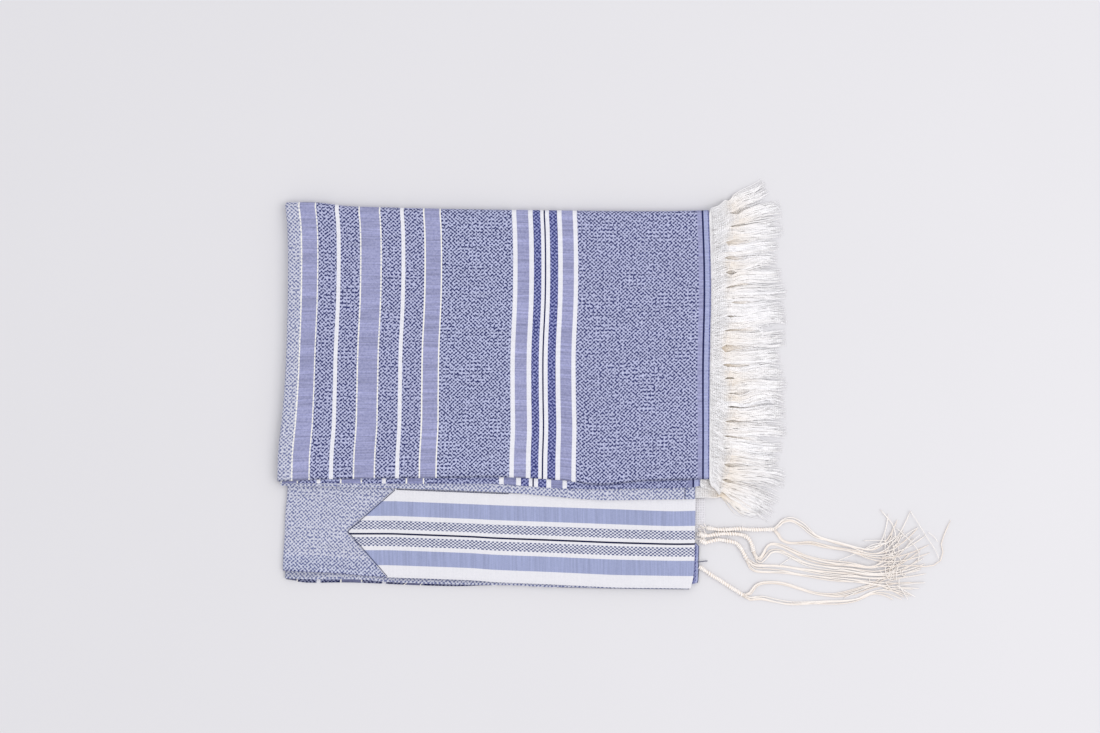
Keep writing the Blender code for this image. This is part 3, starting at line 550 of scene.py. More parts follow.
BAND_WALL = 0.8
BAND_FLAT = 370.0  # its length from the tip to the bend at its right
BAND_TIP = (-286.0, -148.1)
BAND_TOP = [(-234.1, -102.6), (-115.6, -107.2), (0.0, -110.8), (60.0, -113.2), (87.7, -112.6)]
BAND_HEM = [
    (-243.0, -197.3), (-154.0, -200.4), (-129.5, -202.3), (-105.0, -203.4), (-74.0, -204.6),
    (-40.0, -206.2), (0.0, -208.1), (43.0, -208.7), (82.3, -209.3),
]
BAND_FOLD = [(-209.3, 82.3), (-195.0, 85.4), (-163.0, 86.7), (-113.0, 87.7)]

BAND_FINISHES = [
    ("band_white", "#E7E6EA", "#DADAE2", (1.4, 1.4), 0.4, 0.4, 0.02, 0.12),
    ("band_blue", "#A0A7C8", "#9199BD", (2.0, 1.4), 0.45, 0.4, 0.1, 0.12),
    ("band_diamond", "#DEDFE9", "#50577D", (3.2, 4.5), 0.5, 0.4, 0.05, 0.2),
    ("band_navy", "#1A2046", "#13183A", (1.6, 2.2), 0.5, 0.5, 0.05, 0.2),
]
finishes |= {row[0]: woven(*row) for row in BAND_FINISHES}
# From the upper edge down: (width, finish).
BAND_STRIPES = [
    (13.2, "band_white"), (15.8, "band_blue"), (4.9, "band_white"), (9.5, "band_diamond"),
    (3.8, "band_white"), (1.9, "band_navy"), (2.6, "band_white"), (9.7, "band_diamond"),
    (4.4, "band_white"), (16.1, "band_blue"), (13.1, "band_white"),
]
band_width = sum(width for width, _ in BAND_STRIPES)
lines, row_kinds = lines_of(BAND_STRIPES, band_width, 4.2, "band_white")


def band_left(y):
    """The pointed end, as an x for each y. It is laid from the tip to each corner."""
    tip_x, tip_y = BAND_TIP
    corner_x, corner_y = BAND_TOP[0] if y > tip_y else BAND_HEM[0]
    return mix(tip_x, corner_x, min((y - tip_y) / (corner_y - tip_y), 1.0))


BAND_R = INNER_R + AIR + BAND_WALL
band = lay_cloth(
    "neckband", even(0.0, BAND_FLAT, 90) + turned(BAND_FLAT, BAND_R, 8)[:4], row_kinds[::-1],
    [(band_width - v, 1 - v / band_width, 0.0) for v in reversed(lines)], PILE + AIR + BAND_WALL,
    (edge_of(BAND_HEM), edge_of(BAND_TOP), band_left, edge_of(BAND_FOLD, -BAND_R)),
    radii=(0.0, BAND_R), wall=BAND_WALL, by_row=True,
)
# The ribbon's thick threads go across it, and its pattern runs straight on where it is cut to
# a point, so its map is turned and read from where it lies, up to the bend at its right.
for loop, held in zip(band.data.loops, band.data.uv_layers["cloth"].data):
    x, y, _ = band.data.vertices[loop.vertex_index].co
    bend = (curve(BAND_FOLD, y / MM) - BAND_R) * MM
    held.uv = (held.uv.y, min(x, bend) + max(held.uv.x - BAND_FLAT * MM, 0.0))
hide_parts("atara")


# ---------------------------------------------------------------- the third layer
# The middle of the cloth again, over the neckband's upper edge, with its centre fold at the
# right. A navy thread and a denser weave run along that fold.

THIRD_HEM = [
    (-350.0, -99.0), (-288.0, -100.5), (-234.0, -101.8), (-116.0, -106.4), (-58.0, -111.3),
    (-15.0, -114.5), (39.0, -114.0), (87.0, -113.4),
]
lines, kinds = lines_of([(9.0, "selvedge_twill"), (0.9, "navy_thread")], MIDDLE, 6.0)
columns = [(u, 1 - u / MIDDLE, 0.0) for u in reversed(lines)]
third = lay_cloth(
    "third_layer", columns + turned(0.0, -INNER_R, 5), kinds[::-1] + ["selvedge_twill"] * 5,
    even(0.0, 300.0, 60) + turned(300.0, CROSS_R - 2 * PITCH, 8), STACK - 2 * PITCH,
    (
        edge_of(THIRD_HEM), fold_line,
        edge_of(FLAP_LEFT, INSET + INNER_R), lambda y: THIRD_RIGHT - INNER_R,
    ),
    radii=(0.0, INNER_R),
)
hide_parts("body_third")


# ---------------------------------------------------------------- the second layer
# The other striped end of the cloth. Below the top layer it shows as a dark strip, with its
# stripes a little to the left of those above them.

SECOND_HEM = [
    (-350.0, -96.3), (-229.0, -96.8), (-122.0, -97.2), (-90.0, -99.8), (-47.0, -102.2),
    (28.0, -102.2), (81.0, -101.0), (92.0, -99.0),
]
SECOND_RIGHT = 91.5
# Where its stripes lie along its hem: (distance along the cloth, x).
SECOND_MARKS = [
    (0.0, 91.5), (144.4, -53.0), (288.4, -203.8), (329.2, -246.0), (375.0, -292.3), (438.8, -356.5),
]
left_end, right_end = SECOND_MARKS[-1][1], SECOND_MARKS[0][1]
pull = [(u, (x - left_end) / (right_end - left_end)) for u, x in SECOND_MARKS]
columns, kinds = striped_columns(STRIPES, pull, 9.0)
# Its speckled, blue and lavender cells take darker copies of their finishes: painted shade under the top
# layer.
second = lay_cloth(
    "second_layer", turned(SECOND_MARKS[-1][0], INNER_R, 5, 0.0)[::-1] + columns,
    ["pale_weave"] * 5 + in_shade(kinds),
    hemmed_rows(298.0, 60) + turned(298.0, CROSS_R - PITCH, 10), STACK - PITCH,
    (
        edge_of(SECOND_HEM), fold_line,
        edge_of(FLAP_LEFT, INSET + INNER_R), lambda y: SECOND_RIGHT,
    ),
    radii=(INNER_R, 0.0),
)
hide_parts("end_panel_second")


# ---------------------------------------------------------------- the top layer
# The striped end that shows in full. It goes round the whole pile at the left, and over the
# cross fold to the surface, so its stripes run on down the back.

FLAP_RIGHT = [
    (-95.0, 101.5), (14.0, 101.9), (50.0, 102.4), (100.0, 103.3), (142.0, 102.9), (194.0, 101.1),
]
FLAP_HEM = [
    (-360.0, -94.6), (-304.0, -92.0), (-186.0, -90.6), (-122.0, -89.9), (-58.0, -93.1),
    (-20.0, -97.9), (28.0, -94.2), (103.0, -92.0),
]
# Rows of (y, how far the stripes lie to the right of true).
FLAP_SWAY = [
    (-95.0, 2.0), (-74.0, 2.0), (-42.0, 1.8), (1.0, -0.4), (44.0, -1.5), (97.0, -0.5),
    (140.0, 0.0), (183.0, 0.4),
]
TOP_RUN = 450.3  # its length to the fold at the left
columns, kinds = striped_columns(STRIPES, [(0.0, 1.0), (TOP_RUN, 0.0)], 4.5)
# Its rows at the hem are darker: partly the selvedge's own darker weave, partly painted shade at its
# rolled edge.
top = lay_cloth(
    "top_layer", turned(TOP_RUN, OUTER_R, 10, 0.0)[::-1] + columns, ["pale_weave"] * 10 + kinds,
    hemmed_rows(292.0, 90) + turned(292.0, CROSS_R, 14), STACK,
    (edge_of(FLAP_HEM), fold_line, edge_of(FLAP_LEFT, OUTER_R), edge_of(FLAP_RIGHT)),
    radii=(OUTER_R, 0.0), hem_shade=((0.0, 0.5), (1.0, 0.35), (2.6, 0.0)), sway=FLAP_SWAY,
)
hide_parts("end_panel_top")


# ---------------------------------------------------------------- the corner patch
# A square of fine cotton net, sewn over the corner so that the knotted cords don't tear it. Its
# right edge is bound by a line of stitches, which aren't drawn, and it lies under the pile's edge.

PATCH_LEFT, PATCH_RIGHT, PATCH_TOP, PATCH_HEM = 86.8, 97.9, -113.4, -160.5
NET_PITCH = 2.6  # spacing of its threads, drawn coarser than the usual 1.5 mm

finishes["cotton_net"], shader, add = matt("cotton_net")
place = add("SeparateXYZ", {0: add("UVMap", uv_map="cloth")})
bars = ribs(add, place, NET_PITCH)
lowest = add("Math", {0: bars[0], 1: bars[1]}, operation="MINIMUM")
solid = add("MapRange", {"Value": lowest, "From Min": 0.3, "From Max": 0.6, "To Min": 0.9, "To Max": 0.72})
bump = add("Bump", {"Strength": 0.5, "Distance": 0.2 * MM, "Height": lowest}, invert=True)
join(shader, {"Base Color": linear("#E9E7EB"), "Alpha": solid, "Normal": bump})

patch = lay_cloth(
    "corner_net", even(0.0, 11.1, 7), "cotton_net", even(0.0, 47.1, 18), 0.9,
    (lambda x: PATCH_HEM, lambda x: PATCH_TOP, lambda y: PATCH_LEFT, lambda y: PATCH_RIGHT), wall=0.6,
)
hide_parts("corner_patch")


# ---------------------------------------------------------------- the upper fringe
# The cotton warp, left unwoven past the end of the cloth. Its threads leave the edge side by
# side, are gathered into twenty tassels with a knot in each, and fan out to their cut ends.

# Rows of (knot x, knot y, tip x, tip y, half spread at the tip).
TASSELS = [
    (125.2, 200.1, 161.5, 219.4, 9.0), (132.7, 186.2, 176.6, 198.0, 8.5),
    (127.3, 171.2, 178.7, 176.6, 8.2), (123.1, 153.0, 173.3, 157.3, 7.5),
    (123.1, 137.0, 172.3, 141.2, 6.4), (125.2, 120.9, 176.6, 125.2, 7.4),
    (122.0, 104.9, 181.9, 109.1, 7.2), (123.1, 89.9, 179.8, 93.1, 6.6),
    (125.2, 74.9, 181.9, 79.2, 6.4), (119.8, 58.9, 180.8, 59.9, 8.4),
    (119.8, 37.5, 174.4, 40.7, 8.0), (122.0, 22.5, 178.7, 23.5, 7.0),
    (125.2, 7.5, 181.9, 8.6, 6.4), (125.2, -7.5, 179.8, -6.4, 7.0),
    (126.3, -22.5, 180.8, -22.5, 7.4), (122.0, -38.5, 181.9, -40.7, 7.6),
    (120.9, -53.0, 177.6, -57.8, 6.8), (124.1, -67.4, 174.4, -72.8, 7.0),
    (120.9, -85.6, 179.8, -93.1, 9.3), (117.6, -100.5, 170.0, -124.0, 13.5),
]
KNOT_RISE = 1.5  # half height of a knot
TOP_KNOT_Z, TOP_REST_Z = 4.9, 3.3


def twisted(name, pale, warm, turn):
    """Soft yarn of two plies, with turn mm to one twist. It is matt, its colour goes from pale to
    warm with a vertex attribute that carries the yarn's own tone and painted warm shade, and
    painted shade darkens it between the plies."""
    made, shader, add = matt(name, sheen=0.1)
    warmth_and_shade = add("Attribute", attribute_name="warmth_and_shade")
    hue = add("Mix", {0: warmth_and_shade.outputs["Fac"], 6: linear(pale), 7: linear(warm)}, data_type="RGBA")
    place = add("SeparateXYZ", {0: add("UVMap", uv_map="yarn")})
    turns = add("Math", {0: place.outputs["X"], 1: math.tau / (turn * MM)}, operation="MULTIPLY")
    lean = add("Math", {0: place.outputs["Y"], 1: math.tau * 2, 2: turns}, operation="MULTIPLY_ADD")
    plies = add("Math", {0: lean}, operation="SINE")
    shade = add("MapRange", {"Value": plies, "From Min": -1.0, "To Min": 0.98, "To Max": 1.0})
    toned = add("VectorMath", {0: hue, "Scale": shade}, operation="SCALE")
    bump = add("Bump", {"Strength": 0.4, "Distance": 0.15 * MM, "Height": plies})
    join(shader, {"Base Color": toned, "Normal": bump})
    return made


yarn = twisted("cotton_yarn", "#FCFBFD", "#EDDFCC", 2.4)
chance = np.random.default_rng(36)


def spun(name, paths, radius, sides, warmth_and_shade):
    """A mesh of round threads, closed at both ends. paths[thread][point] is a place in mm, and
    every thread has as many points. radius and warmth_and_shade, the yarn's tone with painted
    warm shade, are for all, for each thread, or for each point of each thread."""
    paths = np.asarray(paths, dtype=float)
    count, points = paths.shape[:2]
    bm = bmesh.new()
    thread_of = bm.verts.layers.int.new("thread")
    corner_of = bm.verts.layers.int.new("corner")
    point_of = bm.verts.layers.int.new("point")
    ends = []
    for i in range(count):
        prism = bmesh.ops.create_cone(
            bm, cap_ends=True, segments=sides, radius1=1.0, radius2=1.0, depth=1.0
        )["verts"]
        for v in prism:
            v[thread_of] = i
            v[corner_of] = math.floor(math.atan2(v.co.y, v.co.x) / math.tau * sides + 0.01) % sides
            v[point_of] = int(v.co.z > 0)
        top = next(v for v in prism if v.co.z > 0)
        ends.append(next(f for f in top.link_faces if all(v[point_of] for v in f.verts)))
    for k in range(2, points):
        ends = bmesh.ops.extrude_discrete_faces(bm, faces=ends)["faces"]
        for face in ends:
            for v in face.verts:
                v[point_of] = k
    mesh = mesh_of(name, bm)

    def read(items, key):
        values = np.empty(len(items), dtype=np.int32)
        items.foreach_get(key, values)
        return values

    marks = ("thread", "corner", "point")
    thread, corner, point = [read(mesh.attributes[mark].data, "value") for mark in marks]
    for mark in marks:
        mesh.attributes.remove(mesh.attributes[mark])

    # A frame that doesn't twist is carried along each thread.
    ahead = np.gradient(paths, axis=1)
    ahead /= np.linalg.norm(ahead, axis=-1, keepdims=True)
    side = np.empty_like(paths)
    last = np.cross(ahead[:, 0], (0.05, 0.0, 1.0))
    for k in range(points):
        free = last - (last * ahead[:, k]).sum(-1, keepdims=True) * ahead[:, k]
        last = side[:, k] = free / np.linalg.norm(free, axis=-1, keepdims=True)
    over = np.cross(ahead, side)
    swing = math.tau * corner / sides
    radii = np.broadcast_to(radius, (count, points))[thread, point]
    around = np.cos(swing)[:, None] * side[thread, point]
    around += np.sin(swing)[:, None] * over[thread, point]
    places = (paths[thread, point] + radii[:, None] * around) * MM
    mesh.vertices.foreach_set("co", places.ravel())

    # The map gives how far along its thread, and how far round it, each corner of a face is.
    steps = np.linalg.norm(np.diff(paths, axis=1), axis=-1)
    lengths = np.concatenate([np.zeros((count, 1)), np.cumsum(steps, axis=1)], axis=1) * MM
    of_loop = read(mesh.loops, "vertex_index")
    sizes = read(mesh.polygons, "loop_total")
    face = np.repeat(np.arange(len(sizes)), sizes)
    highest = np.zeros(len(sizes), dtype=np.int32)
    np.maximum.at(highest, face, corner[of_loop])
    closing = (corner[of_loop] == 0) & (highest[face] == sides - 1)
    round_it = np.where(closing, sides, corner[of_loop]) / sides
    yarn_map = np.stack([lengths[thread, point][of_loop], round_it], axis=-1)
    mesh.uv_layers.new(name="yarn").data.foreach_set("uv", yarn_map.ravel())
    mesh.attributes.new("warmth_and_shade", "FLOAT", "POINT").data.foreach_set(
        "value", np.broadcast_to(warmth_and_shade, (count, points))[thread, point].astype(np.float32)
    )
    mesh.shade_smooth()
    return mesh


def bundled(name, meshes, material=yarn):
    """Joins meshes of threads into one piece that rides on the shawl."""
    bm = bmesh.new()
    for mesh in meshes:
        bm.from_mesh(mesh)
        bpy.data.meshes.remove(mesh)
    joined = mesh_of(name, bm)
    joined.materials.append(material)
    piece = in_scene(name, joined)
    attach(piece, "root")
    return piece


# Each point of a fringe thread: its radius, and how much painted warm shade its yarn takes, most of all at
# the knot.
THREAD_R = np.array([0.14, 0.14, 0.17, 0.23, 0.34, 0.37, 0.39, 0.4, 0.4, 0.38, 0.32, 0.2])
WARM_SHADE = np.array([0.0, 0.0, 0.0, 0.3, 1.0, 0.95, 0.7, 0.45, 0.26, 0.15, 0.08, 0.05])
THREADS = 5.4  # to each mm of the cloth's end
BOW, LEAN = 4.4, 2.2  # the most that a tassel bends to a side, and to both sides in turn


def heading(knot, tip):
    """Where a tassel's knot is, which way it runs, the way to its left and how far it goes."""
    knot, tip = np.array(knot), np.array(tip)
    reach = np.linalg.norm(tip - knot)
    ahead = (tip - knot) / reach
    return knot, ahead, np.array((-ahead[1], ahead[0])), reach


def tassel_threads(tassels, edge, root_z, knot_z, rest_z):
    """Paths of the threads of a row of tassels. A tassel is (y and half width of its root, the
    same just before its knot, the knot, half the width of the knot, tip, half spread there)."""
    knots = sorted((knot[1], knot[0]) for _, _, knot, *_ in tassels)
    paths = []
    for (root_y, half_root), (near_y, half_near), knot, neck, tip, half_tip in tassels:
        knot, ahead, left, reach = heading(knot, tip)
        number = int(2 * half_root * THREADS)
        bow, lean = chance.uniform(-BOW, BOW), chance.uniform(-LEAN, LEAN)
        for i in range(number):
            # Its place across the tassel and its height in the knot, both from -1 to 1.
            a = 2 * (i + 0.5) / number - 1
            b = chance.uniform(-1, 1) * math.sqrt(1 - a * a)
            y = root_y + a * half_root
            top = placed(edge(y), y, root_z(y) + chance.uniform(-0.35, 0.35))[2] / MM
            near = near_y + a * half_near
            # Where the row spreads, its threads turn aside as they leave the cloth.
            aside = 0.45 * (near - y) * min(abs(near - y) / 12, 1.0) + chance.uniform(-0.25, 0.25)
            path = [(edge(y), y, top), (edge(y) + 2.6, y + aside, top - 0.4)]
            # They run on side by side, and close in only just before the knots.
            for share in (0.5, 0.82):
                x = mix(edge(y), curve(knots, near) - 2.0, share)
                across = mix(y, near, ease(0.1 + share)) + chance.uniform(-0.35, 0.35)
                path.append((x, across, mix(top, knot_z + b * 0.8, share**0.8)))
            path += [
                (*(knot + left * a * neck), knot_z + b * KNOT_RISE * 0.9),
                (*(knot + 2.8 * ahead + left * a * neck * 1.02), knot_z + b * KNOT_RISE * 0.7 - 0.3),
            ]
            # Past the knot they fan out, sink to the surface, and end at lengths of their own.
            fan = np.clip(0.85 * a + chance.normal(0, 0.3), -1.4, 1.4)
            level = chance.uniform(0.45, 1.0) * rest_z
            longer = reach * (1.07 - 0.45 * chance.uniform(0, 1) ** 1.5)
            amount, phase = chance.uniform(0.2, 0.9), chance.uniform(0, math.tau)
            pace = chance.uniform(5.0, 10.0)
            for share in (0.2, 0.36, 0.52, 0.68, 0.84, 1.0):
                out = mix(neck * a * 1.02, half_tip * fan, share**0.55)
                out += amount * share * math.sin(phase + pace * share)
                out += bow * math.sin(math.pi * share) * share + lean * math.sin(math.tau * share)
                at = knot + longer * share * ahead + left * out
                down = mix(knot_z + b * 0.8, level, ease(share / 0.4))
                down = mix(down, max(level * 0.6, 0.5), ease((share - 0.4) / 0.6))
                path.append((*at, down))
            paths.append(path)
    return paths


def knot_wraps(tassels, knot_z, wraps=1.6, steps=18):
    """Paths of the thread that goes round each tassel at its knot."""
    paths = []
    for _, _, knot, neck, tip, _ in tassels:
        knot, ahead, left, _ = heading(knot, tip)
        start = chance.uniform(0, math.tau)
        path = []
        for s in np.linspace(-0.5, 0.5, steps):
            angle = start + s * wraps * math.tau
            at = knot + ahead * (s * 2.2 + 1.6 * math.cos(angle)) + left * math.cos(angle) * (neck + 0.1)
            path.append((*at, knot_z + math.sin(angle) * (KNOT_RISE + 0.05)))
        paths.append(path)
    return paths


# A fringe's threads, and the thread wound round each knot, whose warm tint is painted warm shade.
def fringe_of(name, tassels, paths, shade, knot_z, wrap_warm_shade):
    threads = spun("threads", paths, THREAD_R, 4, shade)
    return bundled(name, [threads, spun("wraps", knot_wraps(tassels, knot_z), 0.3, 5, wrap_warm_shade)])


# Each tassel takes the threads that leave the edge nearest to it.
low, high = curve(FLAP_HEM, FLAP_RIGHT[0][1]) + 1.0, fold_line(FLAP_RIGHT[-1][1])
knots_y = [row[1] for row in reversed(TASSELS)]
first, last = knots_y[0] - 9.0, knots_y[-1] + 7.0
ends = [first, *((a + b) / 2 for a, b in zip(knots_y, knots_y[1:])), last]
upper = []
for row, end, after in zip(reversed(TASSELS), ends, ends[1:]):
    half = (after - end) / 2
    upper.append((
        (mix(low, high, (end + half - first) / (last - first)), half * (high - low) / (last - first)),
        (end + half, half), row[:2], half * chance.uniform(0.6, 1.02), row[2:4], row[4],
    ))
ROOT_IN, ROOT_DOWN = 0.2, 0.6  # how far inside the edge and below the top a thread starts
TUFT = 40  # threads that share one amount of painted warm shade
paths = tassel_threads(
    upper, edge_of(FLAP_RIGHT, -ROOT_IN), lambda y: STACK - ROOT_DOWN, TOP_KNOT_Z, TOP_REST_Z
)
# Painted warm shade, most at the knots and more in some tufts than in others, on a little random tone.
drift = np.repeat(chance.uniform(0.1, 2.0, len(paths) // TUFT + 1), TUFT)[:len(paths), None]
shade = np.clip(chance.normal(0.0, 0.04, (len(paths), 1)) + 0.28 * drift * WARM_SHADE, 0, 1)
fringe = fringe_of("upper_fringe", upper, paths, shade, TOP_KNOT_Z, 0.2)
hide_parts("fringe_top")


# ---------------------------------------------------------------- the lower fringe
# The same at the other end of the cloth, which lies one layer down. Its tassels rest on the
# surface under the upper ones, and painted warm shade on their yarn shows between them.

# Rows of (y of a root, shift of its tip).
LOW_LEAN = [(-97.0, -36.0), (-60.0, -13.0), (0.0, -3.0), (120.0, 7.0), (190.0, 16.0)]
LOW_COUNT = 13
LOW_KNOT_X, LOW_TIP_X, LOW_KNOT_Z, LOW_REST_Z = 114.0, 160.0, 1.7, 1.5

low, high = curve(SECOND_HEM, SECOND_RIGHT) + 1.0, fold_line(SECOND_RIGHT)
room = (high - low) / LOW_COUNT
lower = []
for i in range(LOW_COUNT):
    root_y = low + room * (i + 0.5)
    shift = curve(LOW_LEAN, root_y)
    knot = (LOW_KNOT_X + chance.uniform(-2.0, 4.0), root_y + shift * 0.45)
    tip = (LOW_TIP_X + chance.uniform(-8.0, 3.0), root_y + shift + chance.uniform(-3.0, 3.0))
    neck = room * chance.uniform(0.36, 0.48)
    near = (root_y + shift * 0.3, room / 2)
    lower.append(((root_y, room / 2), near, knot, neck, tip, room * chance.uniform(0.6, 0.8)))
# The last of them leaves the edge from under the third layer's fold.
lower.append(((low - 7.0, 7.0), (low - 8.5, 6.0), (116.5, -107.0), 4.6, (150.0, -122.0), 8.0))
paths = tassel_threads(
    lower, lambda y: SECOND_RIGHT - ROOT_IN if y > low else THIRD_RIGHT - 0.8,
    lambda y: STACK - PITCH - ROOT_DOWN if y > low else STACK - 3 * PITCH, LOW_KNOT_Z, LOW_REST_Z,
)
# Painted warm shade at each point of a thread: more than above, most at the knot, and fading out before
# the tips.
SHADED = np.array([0.0, 0.0, 0.05, 0.3, 1.0, 0.9, 0.6, 0.35, 0.2, 0.1, 0.0, 0.0])
shade = np.clip(chance.normal(0.02, 0.06, (len(paths), 1)) + 0.9 * SHADED**0.6, 0, 1)
fringe = fringe_of("lower_fringe", lower, paths, shade, LOW_KNOT_Z, 0.7)
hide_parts("fringe_second")


# ---------------------------------------------------------------- the corner cords
# A tzitzit hangs from each corner: four long woollen-white cords doubled through the corner, one
# wound round the rest between five double knots, and eight strands left free past the last knot.

CORD_R, CORD_KNOT = 1.55, 0.55  # radius of the wound length, and what a knot adds
WRAP_R = 0.8  # radius of the thread wound round it
KNOTS = [0.04, 0.27, 0.5, 0.73, 0.97]  # where the knots are along the wound length
KNOT_SHARE = 0.045  # half length of a knot, as a share of the wound length
TURN, TURN_POINTS = 2.2, 9  # length of a turn of the winding, and points to a turn
FLOOR_Z, CORD_REST_Z = 0.9, 2.3  # middle of a strand, and of a wound length, on the surface
LEVEL = 1.25  # from one cord's strands to the next cord's, where all four meet
STRAND_R, STRAND_PITCH = 0.62, 1.6
MEET_FROM, MEET_TO = 225.0, 268.0  # x over which the strands climb to their level
# Rows of (name, its place from the lowest where the four cross, height at which it leaves the
# cloth, and routes in x and y: the wound length, four strands to its left and four to its right
# as far as the tangle, their eight ends, and the way that a strand bends from the tangle on).

CORDS = [
    ("tzitzit_a", 3, 2.2, [
        (99.4, -144.5), (107.0, -145.7), (114.5, -146.6), (124.1, -146.2), (133.8, -145.5),
        (143.4, -146.2), (151.9, -146.6), (162.6, -146.4), (171.2, -146.2),
    ], [
        (176.5, -142.8), (181.3, -138.0), (190.2, -136.2), (202.0, -141.7), (209.7, -148.2),
        (217.2, -153.7), (229.0, -157.7), (249.3, -162.6), (269.6, -168.0),
    ], [
        (175.5, -150.9), (178.6, -156.4), (185.6, -160.1), (196.9, -160.5), (210.8, -160.0),
        (224.7, -163.5), (237.5, -166.5), (249.3, -168.8), (269.6, -174.0),
    ], [
        (285.5, -125.0), (294.2, -129.5), (303.9, -135.9), (317.8, -126.8), (326.4, -144.2),
        (333.8, -153.0), (338.1, -162.6), (339.2, -171.2),
    ], {0: [
        (300.7, -155.8), (299.0, -141.7), (293.2, -133.8), (285.5, -125.0),
    ]}),
    ("tzitzit_b", 2, 3.4, [
        (91.8, -151.2), (99.2, -153.0), (107.0, -151.9), (114.5, -151.1), (127.3, -150.9),
        (137.0, -152.2), (143.9, -155.7), (147.7, -162.6), (149.8, -170.2),
    ], [
        (151.4, -175.4), (155.6, -177.6), (159.8, -172.6), (163.2, -165.6), (168.8, -162.0),
        (178.7, -163.9), (192.6, -170.2), (207.6, -176.7), (229.0, -181.5), (252.5, -184.0),
        (269.6, -186.7),
    ], [
        (151.6, -178.8), (157.4, -181.6), (163.8, -176.6), (168.2, -171.6), (174.6, -170.0),
        (181.9, -171.8), (193.7, -177.2), (207.6, -182.8), (229.0, -187.0), (252.5, -189.6),
        (269.6, -192.4),
    ], [
        (299.6, -142.3), (310.3, -147.7), (321.0, -155.2), (361.0, -136.5), (328.5, -169.1),
        (332.8, -176.6), (333.8, -183.0), (329.6, -189.4),
    ], {3: [
        (322.7, -185.1), (331.7, -186.0), (342.0, -185.1), (351.0, -178.7), (352.9, -172.0),
        (351.0, -162.2), (354.8, -150.7), (361.0, -136.5),
    ]}),
    ("tzitzit_c", 1, 3.4, [
        (92.4, -157.6), (96.8, -160.6), (102.7, -159.2), (111.3, -157.3), (122.7, -158.8),
        (131.1, -161.1), (136.0, -166.5), (139.4, -172.4), (142.4, -178.2),
    ], [
        (146.6, -182.0), (153.2, -184.6), (166.9, -185.0), (181.9, -186.4), (199.0, -188.9),
        (229.0, -192.6), (252.5, -195.2), (269.6, -197.9),
    ], [
        (145.0, -185.1), (152.1, -189.9), (166.9, -191.5), (181.9, -192.6), (199.0, -194.9),
        (229.0, -198.1), (252.5, -200.7), (269.6, -203.3),
    ], [
        (318.9, -170.1), (326.4, -178.7), (331.7, -186.2), (334.9, -193.7), (333.8, -203.3),
        (327.4, -209.7), (319.9, -217.2), (311.4, -219.4),
    ], {}),
    ("tzitzit_d", 0, 2.3, [
        (91.6, -186.2), (97.4, -190.2), (104.6, -195.2), (112.9, -200.3), (120.9, -205.4),
        (130.5, -211.6), (138.6, -216.8),
    ], [
        (144.4, -216.4), (148.2, -210.6), (152.4, -205.4), (159.8, -202.6), (173.3, -202.6),
        (185.1, -205.1), (199.0, -210.3), (215.1, -215.4), (235.4, -217.2), (252.5, -214.3),
        (269.6, -209.1),
    ], [
        (143.6, -221.0), (150.2, -220.6), (158.8, -220.4), (173.3, -223.6), (188.3, -226.0),
        (205.4, -226.0), (229.0, -224.8), (244.0, -223.9), (260.0, -221.0), (271.8, -215.7),
    ], [
        (301.7, -185.1), (309.2, -190.5), (315.7, -196.9), (319.9, -203.3), (321.0, -210.8),
        (317.0, -218.5), (309.0, -221.5), (299.6, -221.8),
    ], {}),
]


def marks_of(route):
    """How far along a route each of its points is."""
    return [0.0, *itertools.accumulate(map(math.dist, route, route[1:]))]


def along(route, share):
    """A place on the smooth line through a route, by its share of the length."""
    marks = marks_of(route)
    at = share * marks[-1]
    return np.array([curve([(m, p[axis]) for m, p in zip(marks, route)], at) for axis in (0, 1)])


def left_of(route, share):
    """The way to the left of a route at a share of its length."""
    way = along(route, min(share + 0.01, 1.0)) - along(route, max(share - 0.01, 0.0))
    way /= np.linalg.norm(way)
    return np.array((-way[1], way[0]))


def wound_length(route, start_z, points):
    """Middle of the wound length, with the way to its left, as rows of (place, left)."""
    rows = []
    for share in np.linspace(0, 1, points):
        z = mix(start_z, CORD_REST_Z, ease(share * 4))
        rows.append((np.array((*along(route, share), z)), left_of(route, share)))
    return rows


def winding(route, start_z):
    """Path of the long thread wound round the others, closer and thicker at each knot."""
    count = int(marks_of(route)[-1] / TURN * TURN_POINTS)
    path, angle = [], 0.0
    for i, (middle, left) in enumerate(wound_length(route, start_z, count)):
        share = i / (count - 1)
        off_knot = min(abs(share - knot) for knot in KNOTS) / KNOT_SHARE
        # Its turns are uneven, as they are wound by hand.
        radius = CORD_R - 0.15 + CORD_KNOT * math.exp(-(off_knot**2))
        radius += 0.2 * math.sin(angle * 0.37) + 0.16 * math.sin(angle * 0.149)
        angle += math.tau / TURN_POINTS * (1 + 0.25 * math.sin(angle * 0.11))
        side, lift = radius * math.cos(angle), radius * math.sin(angle)
        # Its turns are soft, and lie flat where the cord rests.
        z = max(middle[2] + lift, WRAP_R)
        path.append((middle[0] + left[0] * side, middle[1] + left[1] * side, z))
    return path


